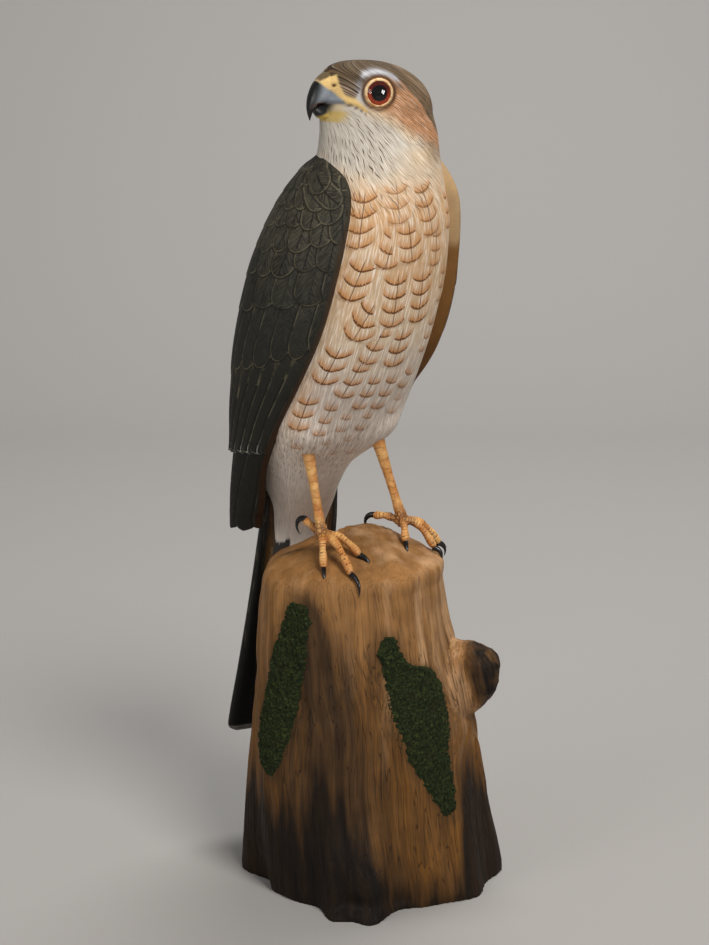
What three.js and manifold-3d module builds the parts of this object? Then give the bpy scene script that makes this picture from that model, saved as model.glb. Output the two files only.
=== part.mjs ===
// A painted wood carving of a small hawk, standing upright on a carved stump, at its real size.
// Millimetres, +Z up. The origin is the middle of the stump's flat underside, and the -Y side is the front.
// The breast faces the front and a little towards +X, and the head is turned towards the hawk's right wing.
import * as THREE from "three";
import { mergeVertices } from "three/addons/utils/BufferGeometryUtils.js";
import Module from "manifold-3d";

const wasm = await Module();
wasm.setup();

const DEG = Math.PI / 180;
const UP = new THREE.Vector3(0, 0, 1);

// Clearance kept between two pieces that touch, and the distance within which two corners are one.
const GAP = 0.3;
const MERGE = 1e-4;

// The hawk's own directions: its breast faces FORWARD, and its beak points to its right side, RIGHT.
const FACING = 26 * DEG;
const FORWARD = new THREE.Vector3(Math.sin(FACING), -Math.cos(FACING), 0);
const RIGHT = new THREE.Vector3(-Math.cos(FACING), -Math.sin(FACING), 0);

// Stump: height of the shoulder where the side turns into the top, and height of the top's highest point.
const SHOULDER_Z = 152;
const STUMP_TOP_Z = 176;
// Rows of height, middle x, middle y, half width and half depth.
const STUMP_ROWS = [
  [0, 0, 1, 56.5, 43],
  [20, -1.6, 1, 56, 43],
  [48, -3.4, 1, 54.3, 43],
  [78, -4.8, 0.5, 51.8, 42.5],
  [94, -5.8, 0, 49.5, 42],
  [110, -7.3, -0.5, 46.8, 41.5],
  [126, -8.6, -1, 44.6, 41],
  [SHOULDER_Z, -9.8, -1.5, 41.6, 39.5],
];
// Top of the stump: rows of share of the way over, share of the side's reach and share of the rise,
// and how far the highest point lies towards +X.
const TOP_ROWS = [
  [0, 1, 0],
  [0.15, 0.992, 0.17],
  [0.3, 0.955, 0.32],
  [0.5, 0.8, 0.47],
  [0.7, 0.55, 0.68],
  [0.85, 0.3, 0.88],
  [1, 0.04, 1],
];
const TOP_DRIFT = 6;
const STUMP_SIDES = 46;
const SIDE_RISES = [0, 0.06, 0.13, 0.21, 0.31, 0.42, 0.54, 0.66, 0.78, 0.89, 1];
const OVER_RISES = [1.15, 1.3, 1.5, 1.7, 1.85, 1.97];
// Root flares: direction in degrees, spread in degrees, reach at the floor, height over which they fade.
const ROOTS = [
  [-109, 9, 12, 30],
  [-91, 11, 13, 30],
  [173, 12, 7, 45],
  [-168, 9, -5, 40],
  [-148, 9, -2.5, 60],
  [128, 18, 5, 60],
  [82, 20, 7, 55],
  [40, 14, 4, 70],
  [4, 13, 7, 45],
  [-27, 12, 5, 40],
];
// Shallow flutes up the side: number round the stump, depth, phase and lean in degrees.
const FLUTES = [
  [7, 0.8, 20, 25],
  [12, 0.4, 75, -15],
];
// Knot: a sawn branch stub on the right.
const KNOT = { root: [22, -3, 97], out: [1, -0.12, 0.28], length: 38 };
// Rows of share of its length, half width and half height.
const KNOT_ROWS = [
  [0, 15, 22],
  [0.3, 14, 21.5],
  [0.55, 12.5, 19],
  [0.75, 11, 15],
  [0.9, 8.5, 10.5],
  [1, 5, 5.5],
];
const KNOT_SIDES = 18;

// Body and neck: rows of height, middle x, middle y, reach to the hawk's right, left, front and back,
// and the squareness of its right and left halves.
const BODY_ROWS = [
  [139, -38.4, 38.3, 9, 8, 1.8, 1, 2.2, 2.2],
  [150, -37.2, 37, 13, 11, 3.7, 2, 2.2, 2.2],
  [164, -35.8, 35.5, 13.6, 13.5, 6, 5, 2.2, 2.2],
  [178, -34, 30, 14.6, 16.4, 10.5, 8.5, 2.2, 2.2],
  [191, -32.3, 24, 19.4, 18, 16, 12.5, 2.1, 2.1],
  [203, -30.2, 17.5, 24, 20.5, 22, 17, 2.1, 2.1],
  [212, -28.4, 13, 29, 27, 27, 21, 2.1, 2.1],
  [221, -26.6, 8.5, 34, 34.5, 31.5, 24.5, 2.1, 2.1],
  [234, -24, 3.5, 38, 39.5, 35, 28.5, 2.15, 2.15],
  [252, -19, -2.5, 40.5, 40.5, 38, 33, 2.15, 2.15],
  [275, -13, -9.5, 41.5, 41, 38.5, 35, 2.15, 2.15],
  [300, -7, -15, 40, 40, 37, 35, 2.1, 2.1],
  [320, -2.5, -19, 36, 36, 33.5, 33, 2.1, 2.1],
  [336, 0.8, -21.3, 30.5, 30.5, 29, 29.5, 2, 2],
  [348, 2.2, -22, 27.3, 27.3, 25, 26, 1.95, 2],
  [358, 2.2, -22, 26.4, 26.4, 21.5, 22.5, 1.85, 2.05],
  [366, 1.6, -22, 26.4, 24.9, 19.5, 20, 1.75, 2.1],
];
const BODY_SIDES = 36;
const BODY_LEVELS = 25;
// Crown: the head closes in a flat dome above the last row, and its middle drifts towards the beak.
const CROWN_Z = 389;
const CROWN_POWER = 2.6;
const CROWN_DRIFT = 8.5;
const CROWN_LEVELS = [0.22, 0.42, 0.6, 0.76, 0.88, 0.96, 0.995];

// Thighs: where each leg leaves the belly, and how far the belly swells round it.
const LEG_TOPS = { right: [-28.8, -20, 216], left: [3.2, -5, 215.5] };
const THIGH = { swell: 5, spread: 17, height: 11, lift: 5 };

// Wings: rows of height, reach of the outer face at the right wing, left wing, front and back.
const CLOAK_ROWS = [
  [140, 35, 25, 15, 11],
  [165, 36.5, 27, 18, 13],
  [190, 38.3, 31, 24, 17],
  [215, 39.5, 35.5, 32, 25],
  [239, 43, 40, 38, 32],
  [261, 47, 46, 42, 36.5],
  [284, 48.3, 46.6, 43, 39],
  [306, 47.3, 43.5, 41.5, 39],
  [328, 41.5, 38.8, 36, 36.5],
  [341, 34.2, 32.5, 30, 32],
  [349, 26.8, 28.5, 26, 28],
];
// Edge lines of each wing: rows of height, angle of its front edge and of its rear edge, measured from the
// hawk's side towards its breast.
const RIGHT_WING_EDGES = [
  [140, 22, -88],
  [171, 25, -90],
  [188, 29, -92],
  [205, 29.5, -92],
  [221, 35, -92],
  [235, 41, -92],
  [249, 45.6, -92],
  [273, 51.2, -92],
  [297, 52.2, -90],
  [320, 50.6, -80],
  [331, 47, -66],
  [338, 41, -52],
  [343, 31, -42],
  [348, 10, -24],
  [349, 4, -22],
];
const LEFT_WING_EDGES = [
  [140, -40, -88],
  [165, -34, -90],
  [200, -30, -92],
  [215, -20, -92],
  [228, 6, -92],
  [240, 22, -92],
  [262, 32, -92],
  [284, 34, -92],
  [305, 32, -90],
  [325, 29, -78],
  [336, 22, -58],
  [344, 8, -40],
  [349, -4, -22],
];
// Layers of a wing: height of its top and of its tips at the front and rear, sink below the outer face,
// thickness at the front edge, and the inset of its edges in degrees.
const COVERTS = { top: 349, tipFront: 214, tipRear: 204, sink: 0, thick: 8.5, inset: 0 };
const PRIMARIES = { top: 236, tipFront: 171, tipRear: 158, sink: 2.2, thick: 5, inset: 1 };

// Wing shells: faces down and across, rounding of the front edge, how far the rear edge and the shoulder are
// tucked in, the height below which a wing follows the tail, and where it hangs free of the body, with its
// share of thickness there and at the tips.
const WING = {
  steps: 14,
  across: 7,
  square: 2.1,
  frontRound: 1.5,
  rearTuck: 2.2,
  topTuck: 0.6,
  tailBelow: 178,
  freeBelow: 222,
  freeThin: 0.62,
  tipThin: 0.55,
};

// Tail: rows of height, middle x, middle y, half width and half thickness.
const TAIL_ROWS = [
  [186, -33.5, 30, 19, 3.6],
  [165, -35.3, 34.5, 20.3, 3.2],
  [130, -39.5, 39.2, 21.6, 2.7],
  [95, -44.7, 43.6, 22.4, 2.4],
  [66, -49.6, 47.2, 22.8, 2.1],
  [60, -50.7, 47.9, 21.8, 1.8],
  [57.7, -51.1, 48.2, 18, 1.3],
];
const TAIL = { sides: 16, square: 3.2, levels: [186, 176, 165, 148, 130, 112, 95, 66, 60, 57.7] };

// Beak: rows of the ridge's reach from the head's middle and its height, the same two of the cutting edge,
// and half width.
const HEAD_MIDDLE = new THREE.Vector3(1.6, -22, 0);
const UPPER_BEAK = [
  [15, 387.4, 12, 369.5, 8],
  [23.5, 385, 19, 370.6, 6.7],
  [29.2, 380.6, 24.6, 371, 5],
  [31.9, 375.5, 28.2, 370.9, 3.8],
  [32.9, 371, 30.3, 369.2, 2.5],
  [32.8, 367.6, 31.1, 366.6, 1.3],
  [32, 364.6, 31.7, 364.4, 0.3],
];
const LOWER_BEAK = [
  [13, 371, 12, 358.5, 7.4],
  [23.4, 371.4, 23.2, 362.6, 5.5],
  [27.4, 371.2, 27.6, 364.8, 3.8],
  [29.9, 370.4, 29.6, 366.8, 1.8],
];
const BEAK_SIDES = 12;

// Eyes: height, reach towards the beak, reach sideways, half width, bulge, and turn towards the beak.
const EYE = { z: 376.2, ahead: 7.1, aside: 15.6, radius: 5.5, bulge: 3.4, turn: 14 * DEG };
const EYE_FACES = { round: 14, up: 8 };

// Legs: half widths of the shank, and how far it goes up into the belly.
const SHANK = { top: 2.9, middle: 2.1, ankle: 2.9, socket: 9, sides: 12 };
// Claws: half width at the root, and share of it left at the point.
const CLAW = { halfWidth: 1.35, steps: 4, sides: 5, point: 0.12 };
// Feet: the ankle, and for each toe its angle from FORWARD towards the hawk's left, its reach and drop, and
// its claw's length, first rise and last droop in degrees.
const FEET = {
  right: {
    ankle: [-23, -19.5, 178],
    toes: {
      outer: { turn: -21, reach: 12, drop: 11.7, claw: 10, raise: 10, hook: 88 },
      middle: { turn: 12, reach: 22, drop: 13.2, claw: 14, raise: 20, hook: 100 },
      inner: { turn: 45, reach: 18.3, drop: 7.5, claw: 11.5, raise: 15, hook: 100 },
      hind: { turn: 208, reach: 9.5, drop: -6, claw: 13, raise: 45, hook: 130 },
    },
  },
  left: {
    ankle: [14, -1, 178.8],
    toes: {
      inner: { turn: -16, reach: 9, drop: 6.5, claw: 9, raise: 10, hook: 92 },
      middle: { turn: 64, reach: 15, drop: 12, claw: 10.5, raise: 15, hook: 110 },
      outer: { turn: 87, reach: 19, drop: 12, claw: 9.5, raise: 15, hook: 105 },
      hind: { turn: 222, reach: 14, drop: -2, claw: 12, raise: 40, hook: 125 },
    },
  },
};
// Toes: half widths from root to tip, how far the middle arches up, and how far below the ankle they start.
const TOE = { root: 2.9, middle: 2.55, tip: 2.2, arch: 1.8, below: 1.5, sides: 7 };

// Moss: flocked patches on the front. Rows of height, and the angles of its two edges round the stump.
const MOSS = { thick: 1.5, buried: 3, steps: 12, across: 5 };
const LEFT_MOSS_ROWS = [
  [61, -152, -147],
  [66, -158, -144],
  [76, -161, -139],
  [90, -159, -132],
  [107, -152, -127],
  [122, -147, -121],
  [136, -140, -116.5],
  [146, -135, -116],
  [150, -131, -119],
];
const RIGHT_MOSS_ROWS = [
  [43, -43, -37],
  [49, -46, -34],
  [61, -53, -33],
  [74, -61, -34],
  [86, -67, -32],
  [98, -70, -31],
  [110, -70.5, -33],
  [116, -71, -40],
  [120, -71.5, -54],
  [127, -74, -60],
  [134, -69, -63],
];

/** Smooth curve through rows whose first column is the key: returns the other columns at that key. */
function rowAt(rows, key) {
  const last = rows.length - 1;
  const step = rows[last][0] > rows[0][0] ? 1 : -1;
  const ends = [rows[0][0], rows[last][0]];
  const at = THREE.MathUtils.clamp(key, Math.min(...ends), Math.max(...ends));
  let i = 0;
  while (i < last - 1 && (at - rows[i + 1][0]) * step > 0) i += 1;
  const [a, b] = [rows[i], rows[i + 1]];
  const span = b[0] - a[0];
  const t = (at - a[0]) / span;
  const slope = (j, c) => {
    const before = rows[Math.max(j - 1, 0)];
    const after = rows[Math.min(j + 1, last)];
    return (after[c] - before[c]) / (after[0] - before[0]);
  };
  return a.slice(1).map((start, c) => {
    const end = b[c + 1];
    const [m0, m1] = [slope(i, c + 1) * span, slope(i + 1, c + 1) * span];
    const [t2, t3] = [t * t, t * t * t];
    return (2 * t3 - 3 * t2 + 1) * start + (t3 - 2 * t2 + t) * m0 + (3 * t2 - 2 * t3) * end + (t3 - t2) * m1;
  });
}

/** Closed surface through rings of equal point count, each end closed by a fan round its middle. */
function loft(rings) {
  const count = rings[0].length;
  const middle = (ring) => ring.reduce((sum, p) => sum.add(p), new THREE.Vector3()).divideScalar(count);
  const points = [...rings.flat(), middle(rings[0]), middle(rings[rings.length - 1])];
  const index = [];
  for (let i = 0; i < rings.length - 1; i += 1) {
    for (let j = 0; j < count; j += 1) {
      const [a, b] = [i * count + j, i * count + ((j + 1) % count)];
      index.push(a, b, b + count, a, b + count, a + count);
    }
  }
  const [first, second] = [points.length - 2, points.length - 1];
  for (let j = 0; j < count; j += 1) {
    const next = (j + 1) % count;
    const end = (rings.length - 1) * count;
    index.push(first, next, j, second, end + j, end + next);
  }
  return new THREE.BufferGeometry().setFromPoints(points).setIndex(index);
}

/** The geometry as a solid for cutting and joining, turned right side out. */
function solid(geometry) {
  const bare = geometry.clone();
  for (const name of ["normal", "uv"]) bare.deleteAttribute(name);
  const merged = mergeVertices(bare, MERGE);
  const corners = merged.index.array;
  const faces = [];
  for (let i = 0; i < corners.length; i += 3) {
    const [a, b, c] = [corners[i], corners[i + 1], corners[i + 2]];
    if (a !== b && b !== c && c !== a) faces.push([a, b, c]);
  }
  const build = (list) =>
    new wasm.Manifold(
      new wasm.Mesh({
        numProp: 3,
        vertProperties: new Float32Array(merged.attributes.position.array),
        triVerts: new Uint32Array(list.flat()),
      }),
    );
  const made = build(faces);
  return made.volume() > 0 ? made : build(faces.map(([a, b, c]) => [a, c, b]));
}

/** A solid's surface as a geometry. */
function surface(made) {
  const mesh = made.getMesh();
  const flat = new THREE.BufferGeometry();
  flat.setAttribute("position", new THREE.BufferAttribute(new Float32Array(mesh.vertProperties), 3));
  flat.setIndex(new THREE.BufferAttribute(new Uint32Array(mesh.triVerts), 1));
  const shown = flat.toNonIndexed();
  shown.computeVertexNormals();
  return shown;
}

/** The largest body of a solid, without slivers that a cut left behind. */
function largest(made) {
  return made.decompose().sort((a, b) => b.volume() - a.volume())[0];
}

/** Point at an angle round the hawk, measured from its right side towards its breast. */
function aroundHawk(x, y, z, angle, reach) {
  return new THREE.Vector3(x, y, z)
    .addScaledVector(RIGHT, Math.cos(angle) * reach)
    .addScaledVector(FORWARD, Math.sin(angle) * reach);
}

/** Reach of a rounded oblong at an angle, from its four half lengths and its two squarenesses. */
function oblong(angle, right, left, front, back, squareRight, squareLeft) {
  const [c, s] = [Math.cos(angle), Math.sin(angle)];
  const along = c > 0 ? right : left;
  const across = s > 0 ? front : back;
  const power = c > 0 ? squareRight : squareLeft;
  return (Math.abs(c / along) ** power + Math.abs(s / across) ** power) ** (-1 / power);
}

/** Smallest turn from one angle to another. */
function turnBetween(from, to) {
  return Math.atan2(Math.sin(to - from), Math.cos(to - from));
}

/** How far the belly swells at a point round the tops of the legs. */
function thighSwell(x, y, z, angle) {
  let swell = 0;
  for (const [tx, ty, tz] of Object.values(LEG_TOPS)) {
    const off = new THREE.Vector3(tx - x, ty - y, 0);
    const toLeg = Math.atan2(off.dot(FORWARD), off.dot(RIGHT));
    const turn = turnBetween(toLeg, angle) / (THIGH.spread * DEG);
    const rise = (z - tz - THIGH.lift) / THIGH.height;
    swell += THIGH.swell * Math.exp(-turn * turn - rise * rise);
  }
  return swell;
}

/** One level ring of the body, neck or crown. */
function bodyRing(z) {
  const base = BODY_ROWS[BODY_ROWS.length - 1][0];
  const rise = Math.max(0, (z - base) / (CROWN_Z - base));
  const shrink = (1 - Math.min(rise, 1) ** CROWN_POWER) ** (1 / CROWN_POWER);
  const [x, y, right, left, front, back, squareRight, squareLeft] = rowAt(BODY_ROWS, z);
  const drift = CROWN_DRIFT * rise * rise;
  return Array.from({ length: BODY_SIDES }, (_, j) => {
    const angle = (j / BODY_SIDES) * 2 * Math.PI;
    const reach = oblong(angle, right, left, front, back, squareRight, squareLeft) * shrink;
    return aroundHawk(x, y, z, angle, reach + thighSwell(x, y, z, angle)).addScaledVector(RIGHT, drift);
  });
}

/** Body, neck and head in one form, from the root of the tail to the crown. */
function body() {
  const [low, high] = [BODY_ROWS[0][0], BODY_ROWS[BODY_ROWS.length - 1][0]];
  const levels = Array.from({ length: BODY_LEVELS }, (_, i) => low + ((high - low) * i) / (BODY_LEVELS - 1));
  const dome = CROWN_LEVELS.map((t) => high + (CROWN_Z - high) * t);
  return solid(loft([...levels, ...dome].map(bodyRing)));
}

/** One layer of a folded wing, a curved shell over the body. side is 1 for the right wing, else -1. */
function wingLayer(side, edges, layer) {
  const facePoint = (inner, i, j) => {
    const [down, w] = [i / WING.steps, j / WING.across];
    const tip = layer.tipFront + (layer.tipRear - layer.tipFront) * w;
    const z = layer.top + (tip - layer.top) * down;
    const [x, y] = rowAt(z < WING.tailBelow ? TAIL_ROWS : BODY_ROWS, z);
    const [right, left, front, back] = rowAt(CLOAK_ROWS, z);
    const [edge, rear] = rowAt(edges, z);
    const angle = (edge - layer.inset + (rear - edge + layer.inset) * w) * DEG;
    const reach = side > 0 ? right : left;
    const outer = oblong(angle, reach, reach, front, back, WING.square, WING.square) - layer.sink;
    const edgeRound = j === 0 ? WING.frontRound : 0;
    const tuck = (j === WING.across ? WING.rearTuck : 0) + (i === 0 ? WING.topTuck : 0);
    const rounded = edgeRound + tuck;
    const share = (z > WING.freeBelow ? 1 : WING.freeThin) * (i === WING.steps ? WING.tipThin : 1);
    const thick = layer.thick * share;
    const off = inner ? Math.max(thick, rounded + 1) : rounded;
    return aroundHawk(x, y, z, side > 0 ? angle : Math.PI - angle, outer - off);
  };
  const across = Array.from({ length: WING.across + 1 }, (_, j) => j);
  const ring = (i) => [
    ...across.map((j) => facePoint(false, i, j)),
    ...across.toReversed().map((j) => facePoint(true, i, j)),
  ];
  return solid(loft(Array.from({ length: WING.steps + 1 }, (_, i) => ring(i))));
}

/** Flat tail, with rounded edges and square corners at its tip. */
function tail() {
  return solid(
    loft(
      TAIL.levels.map((z) => {
        const [x, y, halfWidth, halfThick] = rowAt(TAIL_ROWS, z);
        return Array.from({ length: TAIL.sides }, (_, j) => {
          const angle = (j / TAIL.sides) * 2 * Math.PI;
          const reach = oblong(angle, halfWidth, halfWidth, halfThick, halfThick, TAIL.square, TAIL.square);
          return aroundHawk(x, y, z, angle, reach);
        });
      }),
    ),
  );
}

/** One half of the beak, from rows of its ridge and edge. */
function beak(rows) {
  return solid(
    loft(
      rows.map(([topReach, topZ, edgeReach, edgeZ, halfWidth]) =>
        Array.from({ length: BEAK_SIDES }, (_, j) => {
          const angle = (j / BEAK_SIDES) * 2 * Math.PI;
          const share = (1 + Math.sin(angle)) / 2;
          return HEAD_MIDDLE.clone()
            .addScaledVector(RIGHT, edgeReach + (topReach - edgeReach) * share)
            .addScaledVector(UP, edgeZ + (topZ - edgeZ) * share)
            .addScaledVector(FORWARD, Math.cos(angle) * halfWidth);
        }),
      ),
    ),
  );
}

/** Eyeball on one side of the head, grown by a clearance. */
function eyeball(side, grown) {
  const ball = new THREE.SphereGeometry(1, EYE_FACES.round, EYE_FACES.up);
  const out = FORWARD.clone().multiplyScalar(side);
  const normal = out.clone().multiplyScalar(Math.cos(EYE.turn)).addScaledVector(RIGHT, Math.sin(EYE.turn));
  const across = new THREE.Vector3().crossVectors(UP, normal).normalize();
  const centre = HEAD_MIDDLE.clone()
    .addScaledVector(RIGHT, EYE.ahead)
    .addScaledVector(out, EYE.aside)
    .setZ(EYE.z);
  const radius = EYE.radius + grown;
  const placed = new THREE.Matrix4()
    .makeBasis(
      across.multiplyScalar(radius),
      UP.clone().multiplyScalar(radius),
      normal.multiplyScalar(EYE.bulge + grown),
    )
    .setPosition(centre);
  return solid(ball.applyMatrix4(placed));
}

/** Round tube along points, with a half width at each. */
function tube(points, halfWidths, sides) {
  const rings = points.map((point, i) => {
    const before = points[Math.max(i - 1, 0)];
    const after = points[Math.min(i + 1, points.length - 1)];
    const along = after.clone().sub(before).normalize();
    const helper = Math.abs(along.z) > 0.8 ? FORWARD : UP;
    const across = new THREE.Vector3().crossVectors(helper, along).normalize();
    const other = new THREE.Vector3().crossVectors(along, across);
    return Array.from({ length: sides }, (_, j) => {
      const angle = (j / sides) * 2 * Math.PI;
      return point
        .clone()
        .addScaledVector(across, Math.cos(angle) * halfWidths[i])
        .addScaledVector(other, Math.sin(angle) * halfWidths[i]);
    });
  });
  return solid(loft(rings));
}

/** Middle line of a shank, from the ankle up into the belly. */
function shankLine(side) {
  const ankle = new THREE.Vector3(...FEET[side].ankle);
  const top = new THREE.Vector3(...LEG_TOPS[side]);
  const along = top.clone().sub(ankle).normalize();
  return [ankle, ankle.clone().lerp(top, 0.5), top, top.clone().addScaledVector(along, SHANK.socket)];
}

/** One leg: shank, four toes and their claws, cast in one. */
function leg(side) {
  const line = shankLine(side);
  let made = tube(line, [SHANK.ankle, SHANK.middle, SHANK.top, SHANK.top], SHANK.sides);
  const ankle = line[0].clone().setZ(line[0].z - TOE.below);
  for (const toe of Object.values(FEET[side].toes)) {
    const angle = toe.turn * DEG;
    const way = FORWARD.clone().multiplyScalar(Math.cos(angle)).addScaledVector(RIGHT, -Math.sin(angle));
    const points = [0, 0.35, 0.7, 1].map((t) =>
      ankle
        .clone()
        .addScaledVector(way, toe.reach * t)
        .addScaledVector(UP, TOE.arch * Math.sin(Math.PI * t) - toe.drop * t * t),
    );
    made = made.add(tube(points, [TOE.root, TOE.middle, TOE.tip, TOE.tip * 0.9], TOE.sides));
    const claw = [points[3].clone().addScaledVector(way, -1)];
    for (let i = 1; i <= CLAW.steps; i += 1) {
      const bend = (-toe.raise + ((toe.hook + toe.raise) * i) / CLAW.steps) * DEG;
      claw.push(
        claw[i - 1]
          .clone()
          .addScaledVector(way, (Math.cos(bend) * toe.claw) / CLAW.steps)
          .addScaledVector(UP, (-Math.sin(bend) * toe.claw) / CLAW.steps),
      );
    }
    const widths = claw.map((_, i) => CLAW.halfWidth * (1 - ((1 - CLAW.point) * i) / CLAW.steps));
    made = made.add(tube(claw, widths, CLAW.sides));
  }
  return made;
}


/** Reach of the stump's side at a height and direction, below the top. */
function stumpReach(z, angle) {
  const [, , halfWidth, halfDepth] = rowAt(STUMP_ROWS, z);
  let reach = 1 / Math.hypot(Math.cos(angle) / halfWidth, Math.sin(angle) / halfDepth);
  for (const [direction, spread, flare, fade] of ROOTS) {
    const turn = turnBetween(direction * DEG, angle) / (spread * DEG);
    reach += flare * Math.exp(-turn * turn - z / fade);
  }
  for (const [number, depth, phase, lean] of FLUTES) {
    reach += depth * Math.sin(number * angle + (phase + (lean * z) / 40) * DEG);
  }
  return reach;
}

/** Point of the stump, grown outward by a clearance. rise is 0 to 1 up the side, then 1 to 2 over the top. */
function stumpPoint(rise, angle, grown) {
  const low = Math.min(rise, 1) * SHOULDER_Z;
  const [x, y] = rowAt(STUMP_ROWS, low);
  const [shareOut, shareUp] = rowAt(TOP_ROWS, Math.max(rise - 1, 0));
  const reach = (stumpReach(low, angle) + grown) * shareOut;
  const z = low + (STUMP_TOP_Z - SHOULDER_Z + grown) * shareUp;
  return new THREE.Vector3(x + TOP_DRIFT * shareUp + Math.cos(angle) * reach, y + Math.sin(angle) * reach, z);
}

/** Stump without its knot, grown outward by a clearance. */
function stumpForm(grown) {
  const angles = Array.from({ length: STUMP_SIDES }, (_, j) => (j / STUMP_SIDES) * 2 * Math.PI);
  const rings = [...SIDE_RISES, ...OVER_RISES].map((rise) =>
    angles.map((angle) => stumpPoint(rise, angle, grown)),
  );
  return solid(loft(rings));
}

/** Sawn branch stub on the right of the stump. */
function knot() {
  const root = new THREE.Vector3(...KNOT.root);
  const out = new THREE.Vector3(...KNOT.out).normalize();
  const across = new THREE.Vector3().crossVectors(UP, out).normalize();
  const rise = new THREE.Vector3().crossVectors(out, across);
  return solid(
    loft(
      KNOT_ROWS.map(([share, halfWidth, halfHeight]) =>
        Array.from({ length: KNOT_SIDES }, (_, j) => {
          const angle = (j / KNOT_SIDES) * 2 * Math.PI;
          return root
            .clone()
            .addScaledVector(out, share * KNOT.length)
            .addScaledVector(across, Math.cos(angle) * halfWidth)
            .addScaledVector(rise, Math.sin(angle) * halfHeight);
        }),
      ),
    ),
  );
}

/** Flocked patch over the stump's side, between two edge lines. */
function moss(rows) {
  const [low, high] = [rows[0][0], rows[rows.length - 1][0]];
  const shell = (grown) =>
    Array.from({ length: MOSS.steps + 1 }, (_, i) => {
      const z = low + ((high - low) * i) / MOSS.steps;
      const [from, to] = rowAt(rows, z);
      return Array.from({ length: MOSS.across + 1 }, (_, j) =>
        stumpPoint(z / SHOULDER_Z, (from + ((to - from) * j) / MOSS.across) * DEG, grown),
      );
    });
  const [outer, inner] = [shell(GAP + MOSS.thick), shell(-MOSS.buried)];
  const block = solid(loft(outer.map((row, i) => [...row, ...inner[i].toReversed()])));
  return largest(block.subtract(stumpForm(GAP)));
}

/** The whole hawk, with sockets for its eyes and legs. */
function hawk() {
  let made = body();
  for (const piece of [
    wingLayer(1, RIGHT_WING_EDGES, PRIMARIES),
    wingLayer(1, RIGHT_WING_EDGES, COVERTS),
    wingLayer(-1, LEFT_WING_EDGES, PRIMARIES),
    wingLayer(-1, LEFT_WING_EDGES, COVERTS),
    tail(),
    beak(UPPER_BEAK),
    beak(LOWER_BEAK),
  ]) {
    made = made.add(piece);
  }
  for (const side of [1, -1]) made = made.subtract(eyeball(side, GAP));
  for (const side of ["right", "left"]) {
    const line = shankLine(side);
    const wide = line.map((_, i) => (i < 2 ? SHANK.ankle : SHANK.top) + GAP);
    line[3].addScaledVector(line[3].clone().sub(line[2]).normalize(), GAP);
    made = made.subtract(tube(line, wide, SHANK.sides));
  }
  return largest(made);
}

const wood = new THREE.MeshStandardMaterial({ color: 0x8a6848, roughness: 0.75 });
const feathers = new THREE.MeshStandardMaterial({ color: 0xb09478, roughness: 0.6 });
const horn = new THREE.MeshStandardMaterial({ color: 0xd0a062, roughness: 0.5 });
const flock = new THREE.MeshStandardMaterial({ color: 0x2a4a2c, roughness: 0.95 });
const glass = new THREE.MeshStandardMaterial({ color: 0x2a0c06, roughness: 0.08 });

const stumpGrown = stumpForm(GAP).add(knot());
const hawkGroup = new THREE.Group();
const stumpGroup = new THREE.Group();

/** Adds one named piece to a group. */
function addPiece(group, name, made, material) {
  const mesh = new THREE.Mesh(surface(made), material);
  mesh.name = name;
  group.add(mesh);
}

addPiece(stumpGroup, "stump", stumpForm(0).add(knot()), wood);
addPiece(stumpGroup, "moss_left", moss(LEFT_MOSS_ROWS), flock);
addPiece(stumpGroup, "moss_right", moss(RIGHT_MOSS_ROWS), flock);
addPiece(hawkGroup, "hawk", hawk(), feathers);
addPiece(hawkGroup, "right_eye", eyeball(-1, 0), glass);
addPiece(hawkGroup, "left_eye", eyeball(1, 0), glass);
addPiece(hawkGroup, "right_leg", largest(leg("right").subtract(stumpGrown)), horn);
addPiece(hawkGroup, "left_leg", largest(leg("left").subtract(stumpGrown)), horn);

const carving = new THREE.Group();
carving.add(stumpGroup, hawkGroup);
export default carving;
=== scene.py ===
"""A painted wood carving of a small hawk on a stump, dressed for pictures.

Sizes are millimetres and degrees, in the frame of the solid model, and meshes go to Blender in metres.
"""

import logging
import math
from contextlib import contextmanager
from dataclasses import dataclass, field
from enum import Enum
from typing import Iterator, Sequence

import bmesh
import bpy
import numpy as np
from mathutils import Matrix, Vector


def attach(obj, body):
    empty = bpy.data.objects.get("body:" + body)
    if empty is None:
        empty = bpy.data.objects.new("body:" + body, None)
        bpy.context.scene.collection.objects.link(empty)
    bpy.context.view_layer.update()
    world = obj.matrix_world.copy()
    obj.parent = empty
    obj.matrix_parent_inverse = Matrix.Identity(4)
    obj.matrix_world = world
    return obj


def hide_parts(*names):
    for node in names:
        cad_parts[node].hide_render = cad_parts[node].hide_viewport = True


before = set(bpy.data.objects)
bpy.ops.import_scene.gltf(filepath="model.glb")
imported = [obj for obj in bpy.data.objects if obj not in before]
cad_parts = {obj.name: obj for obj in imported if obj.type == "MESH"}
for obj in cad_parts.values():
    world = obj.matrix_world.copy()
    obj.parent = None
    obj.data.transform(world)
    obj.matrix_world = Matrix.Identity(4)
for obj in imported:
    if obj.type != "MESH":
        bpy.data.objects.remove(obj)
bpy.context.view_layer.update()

Array = np.ndarray
Rows = Sequence[Sequence[float]]

LOG = logging.getLogger("carving")
Place = tuple[float, float, float]
# Metres in a millimetre, radians in a degree, and how far the hawk is turned from the front.
MM = 0.001
DEG = math.pi / 180
FACING = 26 * DEG
FORWARD = np.array([math.sin(FACING), -math.cos(FACING), 0.0])
RIGHT = np.array([-math.cos(FACING), -math.sin(FACING), 0.0])
UP = np.array([0.0, 0.0, 1.0])
# Gap between touching pieces, and the distance from bar to bar of the breast feathers.
CLEARANCE = 0.3
BAR_STEP = 6.4
# Distance that stands for no feather edge near, and the share of a wing where its rear starts to turn in.
FAR = 9.0
REAR_TUCK = 0.857
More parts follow.
